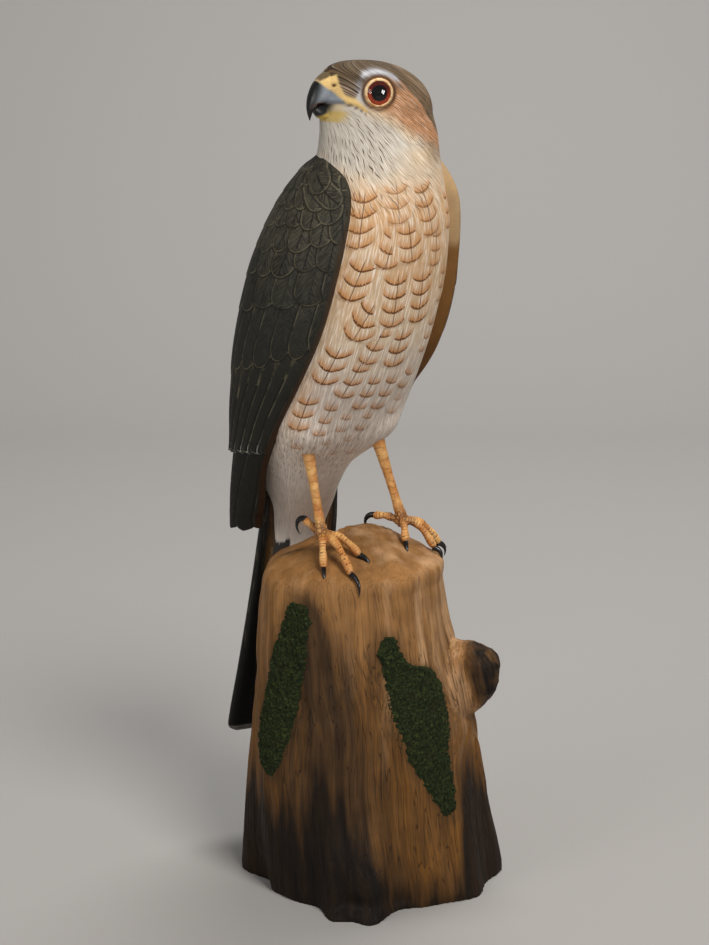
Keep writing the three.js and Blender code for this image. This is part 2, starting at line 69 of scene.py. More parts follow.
# Where the head's own distances ahead, aside and up are measured from.
HEAD = np.array([1.6, -22.0, 0.0])


class Side(Enum):
    """Sides of the hawk: RIGHT is the side its beak points to."""

    RIGHT = 1
    LEFT = -1


class Paint(Enum):
    """Paints and stains on the carving, as 0 to 255 red, green and blue."""

    CREAM = (226, 202, 170)
    PEACH = (216, 172, 124)
    BELLY = (222, 208, 194)
    DOWN = (246, 238, 228)
    RUFOUS = (194, 131, 68)
    UMBER = (84, 46, 18)
    CROWN = (94, 78, 50)
    CROWN_DARK = (44, 33, 20)
    CHEEK = (204, 140, 86)
    CHEEK_LIGHT = (224, 196, 158)
    NAPE = (146, 122, 92)
    THROAT = (200, 192, 178)
    BROW = (184, 187, 194)
    LORE = (158, 136, 114)
    GAPE = (224, 188, 112)
    CHIN = (196, 164, 76)
    JAW = (196, 178, 146)
    RIM = (74, 46, 20)
    STREAK = (84, 60, 30)
    SLATE = (66, 64, 56)
    SLATE_DARK = (25, 23, 18)
    FEATHER_EDGE = (112, 104, 82)
    WING_BROWN = (118, 80, 34)
    WING_TAN = (168, 138, 98)
    TIP_WHITE = (205, 200, 190)
    TAIL = (17, 16, 14)
    BEAK_BLUE = (132, 138, 145)
    BEAK_BLACK = (16, 15, 14)
    CERE = (222, 188, 124)
    LEG = (194, 126, 62)
    LEG_LIGHT = (220, 170, 104)
    LEG_FOLD = (92, 46, 18)
    CLAW = (14, 12, 12)
    WOOD = (156, 112, 66)
    WOOD_PALE = (196, 154, 112)
    WOOD_BROWN = (124, 82, 32)
    WOOD_DARK = (50, 36, 23)
    WOOD_BURNT = (11, 9, 8)
    MOSS = (30, 40, 22)
    MOSS_LIGHT = (76, 86, 42)
    IRIS = (168, 58, 22)
    IRIS_DARK = (58, 14, 6)
    PUPIL = (3, 2, 2)
    EYE_RING = (228, 200, 154)
    FLOOR = (162, 159, 155)

    @property
    def linear(self) -> Array:
        """The paint as linear red, green and blue."""
        share = np.array(self.value) / 255
        return np.where(share <= 0.04045, share / 12.92, ((share + 0.055) / 1.055) ** 2.4)

    @property
    def rgba(self) -> tuple[float, float, float, float]:
        """The paint as a socket's colour."""
        return (*self.linear.tolist(), 1.0)

    def over(self, shape: Sequence[int]) -> Array:
        """The paint at every point of an array of this shape."""
        return np.broadcast_to(self.linear, (*shape, 3)).copy()


class Curve:
    """Smooth curve through rows of sizes whose first column is the key."""

    def __init__(self, rows: Rows) -> None:
        """Keep the rows in rising order of their key."""
        table = np.array(rows, float)
        self.rows = table if table[-1, 0] > table[0, 0] else table[::-1]

    def at(self, keys: Array | float) -> Array:
        """Read the curve.

        Args:
            keys: keys in an array of any shape.

        Returns:
            The other columns at each key, along one more axis.
        """
        rows, keys = self.rows, np.asarray(keys, float)
        known = rows[:, 0]
        key = np.clip(keys.ravel(), known[0], known[-1])
        row = np.clip(np.searchsorted(known, key, side="right") - 1, 0, len(known) - 2)
        span = (known[row + 1] - known[row])[:, None]
        share = (key - known[row])[:, None] / span
        order = np.arange(len(known))
        before, after = np.maximum(order - 1, 0), np.minimum(order + 1, len(known) - 1)
        slope = (rows[after] - rows[before]) / (known[after] - known[before])[:, None]
        made = (2 * share**3 - 3 * share**2 + 1) * rows[row]
        made += (share**3 - 2 * share**2 + share) * slope[row] * span
        made += (3 * share**2 - 2 * share**3) * rows[row + 1] + (share**3 - share**2) * slope[row + 1] * span
        return made[:, 1:].reshape(*keys.shape, -1)

    def line(self, keys: Array) -> Array:
        """Read the curve's first column."""
        return self.at(keys)[..., 0]


def smooth(low: float, high: float, value: Array) -> Array:
    """Soft step from 0 at low to 1 at high."""
    share = np.clip((value - low) / (high - low), 0, 1)
    return share * share * (3 - 2 * share)


def fall(low: float, high: float, value: Array) -> Array:
    """Soft step from 1 at low to 0 at high."""
    return 1 - smooth(low, high, value)


def bell(value: Array, width: float) -> Array:
    """Soft hump of height 1 round 0."""
    return np.exp(-((value / width) ** 2))


def turn_between(start: Array | float, end: Array | float) -> Array:
    """Smallest turn from one angle to another."""
    return np.arctan2(np.sin(end - start), np.cos(end - start))


def blend_paint(under: Array, over: Paint | Array, share: Array) -> Array:
    """Lay one paint over others by a share at each point."""
    top = over.linear if isinstance(over, Paint) else over
    return under + (top - under) * share[..., None]


Coating = tuple[Paint | Array, Array]


def layered(base: Array, *coats: Coating) -> Array:
    """Lay paints over others in order, each by its share."""
    for paint, share in coats:
        base = blend_paint(base, paint, share)
    return base


def oblong(angle: Array, reach: Sequence[Array | float], square: Sequence[Array | float]) -> Array:
    """Reach of a rounded oblong.

    Args:
        angle: directions.
        reach: half lengths to the right, left, front and back.
        square: squareness of the right and the left half.

    Returns:
        The reach in each direction.
    """
    cosine, sine = np.cos(angle), np.sin(angle)
    along = np.where(cosine > 0, reach[0], reach[1])
    across = np.where(sine > 0, reach[2], reach[3])
    power = np.where(cosine > 0, square[0], square[1])
    return (np.abs(cosine / along) ** power + np.abs(sine / across) ** power) ** (-1 / power)


def all_round(count: int) -> Array:
    """Angles evenly spaced round a circle."""
    return np.linspace(0, 2 * math.pi, count + 1)[:-1]


def round_hawk(x: Array, y: Array, z: Array, angle: Array, reach: Array) -> Array:
    """Points at an angle round the hawk, measured from its right side towards its breast."""
    east = x + reach * (np.cos(angle) * RIGHT[0] + np.sin(angle) * FORWARD[0])
    north = y + reach * (np.cos(angle) * RIGHT[1] + np.sin(angle) * FORWARD[1])
    return np.stack(np.broadcast_arrays(east, north, z), -1)


def lattice_value(cells: Array, seed: int) -> Array:
    """Fixed pseudo-random number from 0 to 1 for each whole-number cell."""
    mixed = cells[..., 0] * 374761393 + cells[..., 1] * 668265263 + cells[..., 2] * 2147483647
    mixed = (mixed + seed * 1442695041) & 0x7FFFFFFF
    mixed = ((mixed ^ (mixed >> 13)) * 1274126177) & 0x7FFFFFFF
    return ((mixed ^ (mixed >> 16)) & 0xFFFFFF) / 0xFFFFFF


def cloud(points: Array, seed: int, octaves: int = 3, gain: float = 0.5) -> Array:
    """Smooth noise.

    Args:
        points: places, with one unit to a lump.
        seed: which noise.
        octaves: how many layers, each of half the lump size.
        gain: share of a layer's height that the next one has.

    Returns:
        A value from about -1 to 1 at each place.
    """
    total, height, full = np.zeros(points.shape[:-1]), 1.0, 0.0
    place = points
    for octave in range(octaves):
        cell = np.floor(place).astype(np.int64)
        part = place - cell
        part = part * part * (3 - 2 * part)
        value = np.zeros(points.shape[:-1])
        for corner in range(8):
            step = np.array([corner & 1, (corner >> 1) & 1, corner >> 2])
            weight = np.prod(np.where(step == 1, part, 1 - part), axis=-1)
            value += weight * lattice_value(cell + step, seed + octave)
        total += height * (value * 2 - 1)
        full += height
        height *= gain
        place = place * 2.03 + 17.3
    return total / full


def sheet_normals(points: Array, closed: bool) -> Array:
    """Unit normals of a sheet of points, closed across or not."""
    down = np.gradient(points, axis=0)
    if closed:
        wide = np.concatenate([points[:, -1:], points, points[:, :1]], axis=1)
        across = np.gradient(wide, axis=1)[:, 1:-1]
    else:
        across = np.gradient(points, axis=1)
    normal = np.cross(across, down)
    return normal / np.maximum(np.linalg.norm(normal, axis=-1, keepdims=True), 1e-9)


class MeshMaker:
    """Gathers the shells of one piece, with values at their points, and makes its object."""

    def __init__(self) -> None:
        """Start empty."""
        self.points: list[Array] = []
        self.faces: list[tuple[Array, int]] = []
        self.values: list[tuple[dict[str, Array], int]] = []
        self.count = 0

    def add(self, points: Array, values: dict[str, Array] | None = None) -> int:
        """Add points with their values, and return the number of the first."""
        start, flat = self.count, points.reshape(-1, 3)
        self.points.append(flat)
        told = {name: value.reshape(len(flat), -1) for name, value in (values or {}).items()}
        self.values.append((told, len(flat)))
        self.count += len(flat)
        return start

    def sheet(self, start: int, rows: int, columns: int, closed: bool = False, slot: int = 0) -> None:
        """Face a sheet of points that was added row by row."""
        i, j = np.meshgrid(np.arange(rows - 1), np.arange(columns - (not closed)), indexing="ij")
        near, far = start + i * columns, start + (i + 1) * columns
        after = (j + 1) % columns
        quads = np.stack([near + j, near + after, far + after, far + j], -1).reshape(-1, 4)
        self.faces.append((quads, slot))

    def fan(self, ring: Array, values: dict[str, Array] | None = None, slot: int = 0) -> None:
        """Close a ring of points that were added, round their middle."""
        flat = np.concatenate(self.points)
        told = {name: value.mean(0) for name, value in (values or {}).items()}
        middle = self.add(flat[ring].mean(0), told)
        tris = np.stack([ring, np.roll(ring, -1), np.full(len(ring), middle)], -1)
        self.faces.append((tris, slot))

    def strip(self, one: Array, other: Array, keys: tuple[Array, Array], slot: int = 0) -> None:
        """Join two lines of points whose keys both run from 0 to 1."""
        tris, i, j = [], 0, 0
        while i < len(one) - 1 or j < len(other) - 1:
            step = j == len(other) - 1 or (i < len(one) - 1 and keys[0][i + 1] <= keys[1][j + 1])
            tris.append((one[i], one[i + 1], other[j]) if step else (one[i], other[j + 1], other[j]))
            i, j = (i + 1, j) if step else (i, j + 1)
        self.faces.append((np.array(tris), slot))

    def tube(self, rings: Array, values: dict[str, Array] | None = None, slot: int = 0) -> None:
        """Add a closed tube of rings, with a fan at each end."""
        rows, columns = rings.shape[:2]
        start = self.add(rings, values)
        self.sheet(start, rows, columns, closed=True, slot=slot)
        ends = {name: value.reshape(rows, columns, -1) for name, value in (values or {}).items()}
        for row in (0, rows - 1):
            ring = start + row * columns + np.arange(columns)
            self.fan(ring, {name: value[row] for name, value in ends.items()}, slot)

    def build(self, name: str) -> bpy.types.Object:
        """Make the object.

        Args:
            name: its name.

        Returns:
            The object, in metres, with its normals outward and its values as attributes.
        """
        points = np.concatenate(self.points)
        mesh = bpy.data.meshes.new(name)
        corners = np.concatenate([faces.ravel() for faces, _ in self.faces])
        sizes = np.concatenate([np.full(len(faces), faces.shape[1]) for faces, _ in self.faces])
        slots = np.concatenate([np.full(len(faces), slot) for faces, slot in self.faces])
        mesh.vertices.add(len(points))
        mesh.vertices.foreach_set("co", (points * MM).ravel())
        mesh.loops.add(len(corners))
        mesh.loops.foreach_set("vertex_index", corners.astype(np.int32))
        mesh.polygons.add(len(sizes))
        mesh.polygons.foreach_set("loop_start", (np.cumsum(sizes) - sizes).astype(np.int32))
        mesh.polygons.foreach_set("material_index", slots.astype(np.int32))
        mesh.update(calc_edges=True)
        widths: dict[str, int] = {}
        for told, _ in self.values:
            widths.update({key: value.shape[1] for key, value in told.items()})
        for key, width in widths.items():
            column = [told.get(key, np.zeros((count, width))) for told, count in self.values]
            set_values(mesh, key, np.concatenate(column))
        with opened(mesh) as work:
            bmesh.ops.recalc_face_normals(work, faces=work.faces)
        make_smooth(mesh)
        return add_object(name, mesh)


@contextmanager
def opened(mesh: bpy.types.Mesh) -> Iterator[bmesh.types.BMesh]:
    """Open a mesh for a change, and write it back."""
    work = bmesh.new()
    work.from_mesh(mesh)
    yield work
    work.to_mesh(mesh)
    work.free()


def make_smooth(mesh: bpy.types.Mesh) -> None:
    """Shade every face smoothly."""
    mesh.polygons.foreach_set("use_smooth", np.ones(len(mesh.polygons), bool))


def add_object(name: str, data: bpy.types.ID) -> bpy.types.Object:
    """Put an object of some data in the scene."""
    made = bpy.data.objects.new(name, data)
    bpy.context.scene.collection.objects.link(made)
    return made


def set_values(mesh: bpy.types.Mesh, name: str, values: Array) -> None:
    """Keep values at a mesh's points, one number or three for each."""
    kind, key = ("FLOAT", "value") if values.shape[-1] == 1 else ("FLOAT_VECTOR", "vector")
    mesh.attributes.new(name, kind, "POINT").data.foreach_set(key, values.astype(np.float32).ravel())


def finished(mesh_object: bpy.types.Object) -> bpy.types.Mesh:
    """The mesh that an object's modifiers make."""
    graph = bpy.context.evaluated_depsgraph_get()
    return bpy.data.meshes.new_from_object(mesh_object.evaluated_get(graph))


def knit(piece: bpy.types.Object, cell: float, passes: int) -> None:
    """Turn a piece's crossing shells into one skin.

    Args:
        piece: the piece, whose mesh is replaced.
        cell: size of a face, mm.
        passes: how often the skin is eased afterwards.
    """
    remesh = piece.modifiers.new("skin", "REMESH")
    remesh.mode, remesh.voxel_size = "VOXEL", cell * MM
    ease = piece.modifiers.new("ease", "SMOOTH")
    ease.factor, ease.iterations = 0.5, passes
    made = finished(piece)
    piece.modifiers.clear()
    piece.data = made


def mesh_points(mesh: bpy.types.Mesh) -> tuple[Array, Array]:
    """Places of a mesh's points in mm, and their normals."""
    places, normals = np.zeros(len(mesh.vertices) * 3), np.zeros(len(mesh.vertices) * 3)
    mesh.vertices.foreach_get("co", places)
    mesh.vertex_normals.foreach_get("vector", normals)
    return places.reshape(-1, 3) / MM, normals.reshape(-1, 3)


def move_points(mesh: bpy.types.Mesh, places: Array) -> None:
    """Put a mesh's points at places in mm."""
    mesh.vertices.foreach_set("co", (places * MM).ravel())
    mesh.update()


class Wire:
    """A node's output, which plus, minus, times and divide work on with one math node each."""

    def __init__(self, nodes: "Nodes", socket: bpy.types.NodeSocket) -> None:
        """Hold one output of a node."""
        self.nodes, self.socket = nodes, socket

    def __add__(self, other: "Value") -> "Wire":
        """Plus."""
        return self.nodes.math("ADD", self, other)

    def __sub__(self, other: "Value") -> "Wire":
        """Minus."""
        return self.nodes.math("SUBTRACT", self, other)

    def __rsub__(self, other: float) -> "Wire":
        """A number minus this."""
        return self.nodes.math("SUBTRACT", other, self)

    def __mul__(self, other: "Value") -> "Wire":
        """Times."""
        return self.nodes.math("MULTIPLY", self, other)

    def __truediv__(self, other: "Value") -> "Wire":
        """Divided by."""
        return self.nodes.math("DIVIDE", self, other)

    def __abs__(self) -> "Wire":
        """Without its sign."""
        return self.nodes.math("ABSOLUTE", self)


Value = Wire | float
# A finish's colour, height and share of roughness.
Look = tuple[Wire, Wire, Wire]


class Outputs:
    """A node's outputs as wires, by name or number."""

    def __init__(self, nodes: "Nodes", node: bpy.types.Node) -> None:
        """Hold the node."""
        self.nodes, self.node = nodes, node

    def __getitem__(self, key: str | int) -> Wire:
        """One output."""
        return Wire(self.nodes, self.node.outputs[key])


class Nodes:
    """Adds and joins the nodes of one tree."""

    def __init__(self, tree: bpy.types.NodeTree) -> None:
        """Work in the tree."""
        self.tree = tree

    def feed(self, socket: bpy.types.NodeSocket, value: object) -> None:
        """Give an input its wire, paint, colour or number."""
        if isinstance(value, Wire):
            self.tree.links.new(value.socket, socket)
        else:
            socket.default_value = value.rgba if isinstance(value, Paint) else value

    def add(self, kind: str, inputs: dict[str | int, object] | None = None, **settings: object) -> Outputs:
        """Add a node.

        Args:
            kind: the node's type, without its ShaderNode.
            inputs: numbers, colours or wires for its inputs.
            settings: the node's own settings.

        Returns:
            The node's outputs.
        """
        node = self.tree.nodes.new("ShaderNode" + kind)
        for key, value in settings.items():
            setattr(node, key, value)
        for key, value in (inputs or {}).items():
            self.feed(node.inputs[key], value)
        return Outputs(self, node)

    def math(self, how: str, *values: Value, clamp: bool = False) -> Wire:
        """Work out one number from others."""
        return self.add("Math", dict(enumerate(values)), operation=how, use_clamp=clamp)[0]

    def vector(self, how: str, one: Wire, other: Wire | Place) -> Wire:
        """Work out one vector from two."""
        return self.add("VectorMath", {0: one, 1: other}, operation=how)[0]

    def ramp(self, value: Value, low: float, high: float) -> Wire:
        """Turn a number softly into 0 at low and 1 at high."""
        inputs = {"Value": value, "From Min": low, "From Max": high}
        return self.add("MapRange", inputs, interpolation_type="SMOOTHSTEP")[0]

    def fall(self, value: Value, low: float, high: float) -> Wire:
        """Turn a number softly into 1 at low and 0 at high."""
        return 1.0 - self.ramp(value, low, high)

    def mix(self, share: Value, under: Wire | Paint, over: Wire | Paint) -> Wire:
        """Lay one colour over another by a share."""
        return self.add("Mix", {0: share, 6: under, 7: over}, data_type="RGBA", clamp_factor=True)[2]

    def noise(self, place: Wire, scale: Value, detail: float = 2.0, rough: float = 0.5) -> Wire:
        """Smooth noise at a place."""
        inputs = {"Vector": place, "Scale": scale, "Detail": detail, "Roughness": rough}
        return self.add("TexNoise", inputs)[0]

    def here(self) -> Wire:
        """The place on the piece."""
        return self.add("TexCoord")["Object"]

    def value(self, name: str) -> Wire:
        """A number kept at the mesh's points."""
        return self.add("Attribute", attribute_name=name)["Fac"]

    def triple(self, name: str) -> Wire:
        """A vector or colour kept at the mesh's points."""
        return self.add("Attribute", attribute_name=name)["Vector"]

    def split(self, vector: Wire) -> tuple[Wire, Wire, Wire]:
        """A vector's three numbers."""
        parts = self.add("SeparateXYZ", {0: vector})
        return parts[0], parts[1], parts[2]

    def join(self, x: Value, y: Value, z: Value) -> Wire:
        """Three numbers as one vector."""
        return self.add("CombineXYZ", {0: x, 1: y, 2: z})[0]

    def group(self, effect: "Effect", inputs: dict[str, object]) -> Outputs:
        """Place an effect."""
        node = self.tree.nodes.new("ShaderNodeGroup")
        node.node_tree = effect.tree()
        for key, value in inputs.items():
            self.feed(node.inputs[key], value)
        return Outputs(self, node)

    def mottled(self, colour: Wire, scale: float, amount: float) -> Wire:
        """A colour laid on unevenly."""
        return self.group(Mottle(), {"Color": colour, "Scale": scale, "Amount": amount})[0]


class Effect:
    """A shader node group that is built once and placed where it is needed."""

    name = "effect"
    numbers: dict[str, float] = {}
    vectors: tuple[str, ...] = ()
    colours: tuple[str, ...] = ()
    results: tuple[str, ...] = ()
    colour_results: tuple[str, ...] = ()

    def tree(self) -> bpy.types.NodeTree:
        """The group, made on its first use."""
        if self.name in bpy.data.node_groups:
            return bpy.data.node_groups[self.name]
        tree = bpy.data.node_groups.new(self.name, "ShaderNodeTree")
        sockets = (
            ("INPUT", "Vector", self.vectors),
            ("INPUT", "Color", self.colours),
            ("INPUT", "Float", self.numbers),
            ("OUTPUT", "Float", self.results),
            ("OUTPUT", "Color", self.colour_results),
        )
        for way, kind, labels in sockets:
            for label in labels:
                socket = tree.interface.new_socket(label, in_out=way, socket_type="NodeSocket" + kind)
                if label in self.numbers:
                    socket.default_value = self.numbers[label]
        given, made = tree.nodes.new("NodeGroupInput"), tree.nodes.new("NodeGroupOutput")
        nodes = Nodes(tree)
        told = {socket.name: Wire(nodes, socket) for socket in given.outputs if socket.name}
        for label, wire in self.build(nodes, told).items():
            nodes.feed(made.inputs[label], wire)
        return tree

    def build(self, nodes: Nodes, given: dict[str, Wire]) -> dict[str, Wire]:
        """Build the effect from its inputs and return its results by name."""
        raise NotImplementedError


class BurnedStrokes(Effect):
    """Fine hair-like strokes burned along a flow."""

    name = "burned strokes"
    vectors = ("Flow",)
    numbers = {"Around": 60.0, "Length": 5.0}
    results = ("Strokes", "Height")

    def build(self, nodes: Nodes, given: dict[str, Wire]) -> dict[str, Wire]:
        """Stretch two layers of noise along the flow."""
        x, y, z = nodes.split(given["Flow"])
        layers = []
        for scale in (1.0, 2.3):
            around = given["Around"] * scale
            place = nodes.join(x * around, y * around, z * scale / given["Length"])
            layers.append(nodes.noise(place, 1.0, 1.0))
        both = layers[0] * 0.6 + layers[1] * 0.4
        return {"Strokes": nodes.ramp(both, 0.36, 0.64), "Height": both}


class PaintedDashes(Effect):
    """Thin tapered dashes set along a flow."""

    name = "painted dashes"
    vectors = ("Flow",)
    numbers = {"Columns": 90.0, "Spacing": 7.0, "Reach": 0.4, "Width": 0.14, "Shown": 0.8}
    results = ("Dashes",)

    def build(self, nodes: Nodes, given: dict[str, Wire]) -> dict[str, Wire]:
        """Give each cell of a staggered grid one tapered dash."""
        x, y, z = nodes.split(given["Flow"])
        turn = nodes.math("ARCTAN2", y, x) / (2 * math.pi)
        sway = nodes.noise(nodes.vector("MULTIPLY", given["Flow"], (3.0, 3.0, 0.2)), 1.0, 1.0)
        across = (turn + (sway - 0.5) * 0.03) * given["Columns"]
        column = nodes.math("FLOOR", across)
        shift = nodes.add("TexWhiteNoise", {"W": column}, noise_dimensions="1D")["Value"]
        along = z / given["Spacing"] + shift
        cell = nodes.join(column, nodes.math("FLOOR", along), 0.0)
        chance = nodes.add("TexWhiteNoise", {"Vector": cell}, noise_dimensions="3D")["Color"]
        random = nodes.add("SeparateColor", {0: chance})
        off = abs(nodes.math("FRACT", across) - (random[0] * 0.6 + 0.2))
        share = abs(nodes.math("FRACT", along) - 0.5) / ((random[1] + 0.5) * given["Reach"])
        taper = nodes.math("SUBTRACT", 1.0, share * share, clamp=True)
        inside = (given["Width"] * taper - off) / (given["Width"] * 0.6)
        shown = nodes.math("LESS_THAN", random[2], given["Shown"])
        return {"Dashes": nodes.math("MAXIMUM", inside, 0.0, clamp=True) * shown}


class Barbs(Effect):
    """Barb lines burned outward from a feather's shaft."""

    name = "barbs"
    numbers = {"Along": 0.0, "Across": 0.0, "Tone": 0.0, "Spacing": 0.7, "Slant": 1.1}
    results = ("Lines", "Height")

    def build(self, nodes: Nodes, given: dict[str, Wire]) -> dict[str, Wire]:
        """Draw lines by the distance along and across the feather."""
        step = (given["Along"] + abs(given["Across"]) * given["Slant"]) / given["Spacing"]
        place = nodes.join(step, given["Across"] * 0.35, given["Tone"] * 40.0)
        lines = nodes.noise(place, 1.0, 2.0, 0.6)
        return {"Lines": nodes.ramp(lines, 0.36, 0.66), "Height": lines}


class Mottle(Effect):
    """Uneven paint: lighter and darker patches."""

    name = "uneven paint"
    colours = ("Color",)
    numbers = {"Scale": 60.0, "Amount": 0.2}
    colour_results = ("Color",)

    def build(self, nodes: Nodes, given: dict[str, Wire]) -> dict[str, Wire]:
        """Lighten and darken the colour."""
        patch = nodes.noise(nodes.here(), given["Scale"], 5.0)
        value = (patch - 0.5) * (given["Amount"] * 2.0) + 1.0
        return {"Color": nodes.add("HueSaturation", {"Value": value, "Color": given["Color"]})[0]}


class WoodGrain(Effect):
    """Long fibres, veins and shallow cracks of weathered wood along a flow."""

    name = "wood grain"
    vectors = ("Flow",)
    numbers = {"Fibre": 0.9, "Vein": 4.6}
    results = ("Fibres", "Veins", "Cracks", "Height")

    def build(self, nodes: Nodes, given: dict[str, Wire]) -> dict[str, Wire]:
        """Stretch noise of several sizes along the flow."""
        slow = nodes.vector("MULTIPLY", given["Flow"], (0.03, 0.03, 0.012))
        drift = nodes.add("TexNoise", {"Vector": slow, "Scale": 1.0, "Detail": 1.0})["Color"]
        sway = nodes.vector("MULTIPLY", drift, (16.0, 16.0, 10.0))
        x, y, z = nodes.split(nodes.vector("ADD", given["Flow"], sway))

        def fibres(width: Value, length: float, detail: float) -> Wire:
            """Noise of one width and length."""
            return nodes.noise(nodes.join(x / width, y / width, z / length), 1.0, detail, 0.62)

        fine, veins = fibres(given["Fibre"], 24.0, 3.0), fibres(given["Vein"], 80.0, 4.0)
        line = nodes.fall(abs(fibres(2.6, 60.0, 1.0) - 0.5), 0.0, 0.022)
        made = {"Fibres": nodes.ramp(fine, 0.32, 0.68), "Veins": nodes.ramp(veins, 0.36, 0.64)}
        return made | {"Cracks": line, "Height": fine * 0.5 + veins - line * 0.4}


@dataclass(frozen=True)
class Gloss:
    """How a finish shines."""

    rough: float = 0.6
    spread: float = 0.1
    coat: float = 0.0
    coat_rough: float = 0.1
    specular: float = 0.5


@dataclass(frozen=True)
class Finish:
    """A painted finish: the look of one kind of surface."""

    name: str
    gloss: Gloss = Gloss()
    bump: float = 0.3
    bump_size: float = 0.4

    def colour(self, nodes: Nodes) -> Look:
        """Build the colour, the height and the share of roughness."""
        raise NotImplementedError

    def material(self) -> bpy.types.Material:
        """The finish as a material."""
        made = bpy.data.materials.new(self.name)
        made.use_nodes = True
        nodes, shader = Nodes(made.node_tree), made.node_tree.nodes["Principled BSDF"]
        colour, height, share = self.colour(nodes)
        gloss = self.gloss
        span = {"Value": share, "To Min": gloss.rough - gloss.spread, "To Max": gloss.rough + gloss.spread}
        relief = {"Strength": self.bump, "Distance": self.bump_size * MM, "Height": height}
        nodes.feed(shader.inputs["Base Color"], colour)
        nodes.feed(shader.inputs["Roughness"], nodes.add("MapRange", span)[0])
        nodes.feed(shader.inputs["Normal"], nodes.add("Bump", relief)[0])
        shader.inputs["Coat Weight"].default_value = gloss.coat
        shader.inputs["Coat Roughness"].default_value = gloss.coat_rough
        shader.inputs["Specular IOR Level"].default_value = gloss.specular
        return made

    def dress(self, piece: bpy.types.Object) -> None:
        """Give a piece the finish, after those it has."""
        piece.data.materials.append(self.material())


@dataclass(frozen=True)
class BodyPaint(Finish):
    """Painted breast, belly and head feathers, burned with fine strokes."""

    def colour(self, nodes: Nodes) -> Look:
        """Lay strokes, bars, shafts and dashes over the paint."""
        flow = nodes.triple("flow")
        strokes = nodes.group(BurnedStrokes(), {"Flow": flow, "Around": 62.0, "Length": 8.0})
        shade = (1.0 - strokes["Strokes"]) * nodes.value("stroke")
        base = nodes.mix(shade * 0.6, nodes.triple("paint"), Paint.UMBER)
        lift = nodes.ramp(strokes["Height"], 0.5, 0.64) * nodes.value("lift")
        base = self.bars(nodes, nodes.mix(lift, base, Paint.DOWN), strokes["Height"])
        coarse = nodes.group(BurnedStrokes(), {"Flow": flow, "Around": 42.0, "Length": 6.5})["Height"]
        base = nodes.mix(nodes.fall(coarse, 0.36, 0.58) * nodes.value("hair"), base, Paint.CROWN_DARK)
        for mark, *sizes in (("dash", 62.0, 7.8, 0.16, 0.82), ("speckle", 92.0, 4.8, 0.19, 0.85)):
            told = dict(zip(("Columns", "Spacing", "Width", "Shown"), sizes))
            dashes = nodes.group(PaintedDashes(), {"Flow": flow, "Reach": 0.42, **told})[0]
            base = nodes.mix(dashes * nodes.value(mark), base, Paint.STREAK)
        height = strokes["Height"] - self.shaft(nodes) * 0.4
        return nodes.mottled(base, 260.0, 0.14), height, strokes["Strokes"]

    def shaft(self, nodes: Nodes) -> Wire:
        """Share of a feather's thin dark shaft."""
        return nodes.fall(abs(nodes.value("across")), 0.08, 0.34) * nodes.value("shaft")

    def bars(self, nodes: Nodes, base: Wire, broken: Wire) -> Wire:
        """Lay the crescent bars and the shafts over a colour."""
        rise = nodes.math("FRACT", nodes.value("bar") / BAR_STEP) * BAR_STEP
        uneven = rise + (broken - 0.5) * 3.4
        gain = nodes.value("bar_gain")
        fill = nodes.fall(uneven, 0.8, 4.9) * nodes.ramp(rise, 0.0, 0.25)
        made = nodes.mix(fill * gain * 0.86, base, Paint.RUFOUS)
        edge = nodes.fall(abs(uneven - 0.5), 0.2, 0.72) * (gain * gain)
        made = nodes.mix(edge * 0.95, made, Paint.UMBER)
        return nodes.mix(self.shaft(nodes) * 0.85, made, Paint.UMBER)


@dataclass(frozen=True)
class QuillPaint(Finish):
    """Dark wing and tail feathers with burned barbs, shafts and pale edges."""

    barb: float = 0.75

    def colour(self, nodes: Nodes) -> Look:
        """Lay barbs, edges, shafts and painted shade under overlapping edges over the paint."""
        along, across, tone = nodes.value("along"), nodes.value("across"), nodes.value("tone")
        edge, burn = nodes.value("edge"), nodes.value("burn")
        told = {"Along": along, "Across": across, "Tone": tone, "Spacing": self.barb}
        barbs = nodes.group(Barbs(), told)
        dim = (1.0 - barbs["Lines"]) * burn + tone * 0.22
        base = nodes.mix(dim, nodes.triple("paint"), Paint.SLATE_DARK)
        wear = nodes.ramp(nodes.noise(nodes.here(), 150.0, 4.0), 0.32, 0.62)
        start = nodes.ramp(edge, 0.0, 0.1)
        rim = start * nodes.fall(edge, 0.25, 0.8) * nodes.value("pale") * wear
        base = nodes.mix(rim, base, Paint.FEATHER_EDGE)
        base = nodes.mix(start * nodes.fall(edge, 0.25, 0.6) * nodes.value("tip"), base, Paint.TIP_WHITE)
        # Darker just below the edge of a feather that lies over: painted shade in the groove.
        under = nodes.fall(abs(edge + 0.3), 0.0, 0.8)
        base = nodes.mix(under * 0.6, base, Paint.SLATE_DARK)
        shaft = nodes.fall(abs(across), 0.12, 0.42) * nodes.value("shaft")
        base = nodes.mix(shaft * 0.8, base, Paint.BEAK_BLACK)
        height = barbs["Height"] * burn - shaft * 0.5 - under * 0.4
        return nodes.mottled(base, 220.0, 0.25), height, barbs["Lines"]


@dataclass(frozen=True)
class BeakPaint(Finish):
    """Horn beak: yellow cere, blue-grey sides and a black tip."""

    def colour(self, nodes: Nodes) -> Look:
        """Blend the horn's zones with faint streaks."""
        streak = nodes.noise(nodes.vector("MULTIPLY", nodes.here(), (500.0, 500.0, 1400.0)), 1.0, 3.0)
        base = nodes.mix(nodes.ramp(streak, 0.45, 0.75) * 0.18, nodes.triple("paint"), Paint.BEAK_BLACK)
        return nodes.mottled(base, 420.0, 0.14), streak, streak


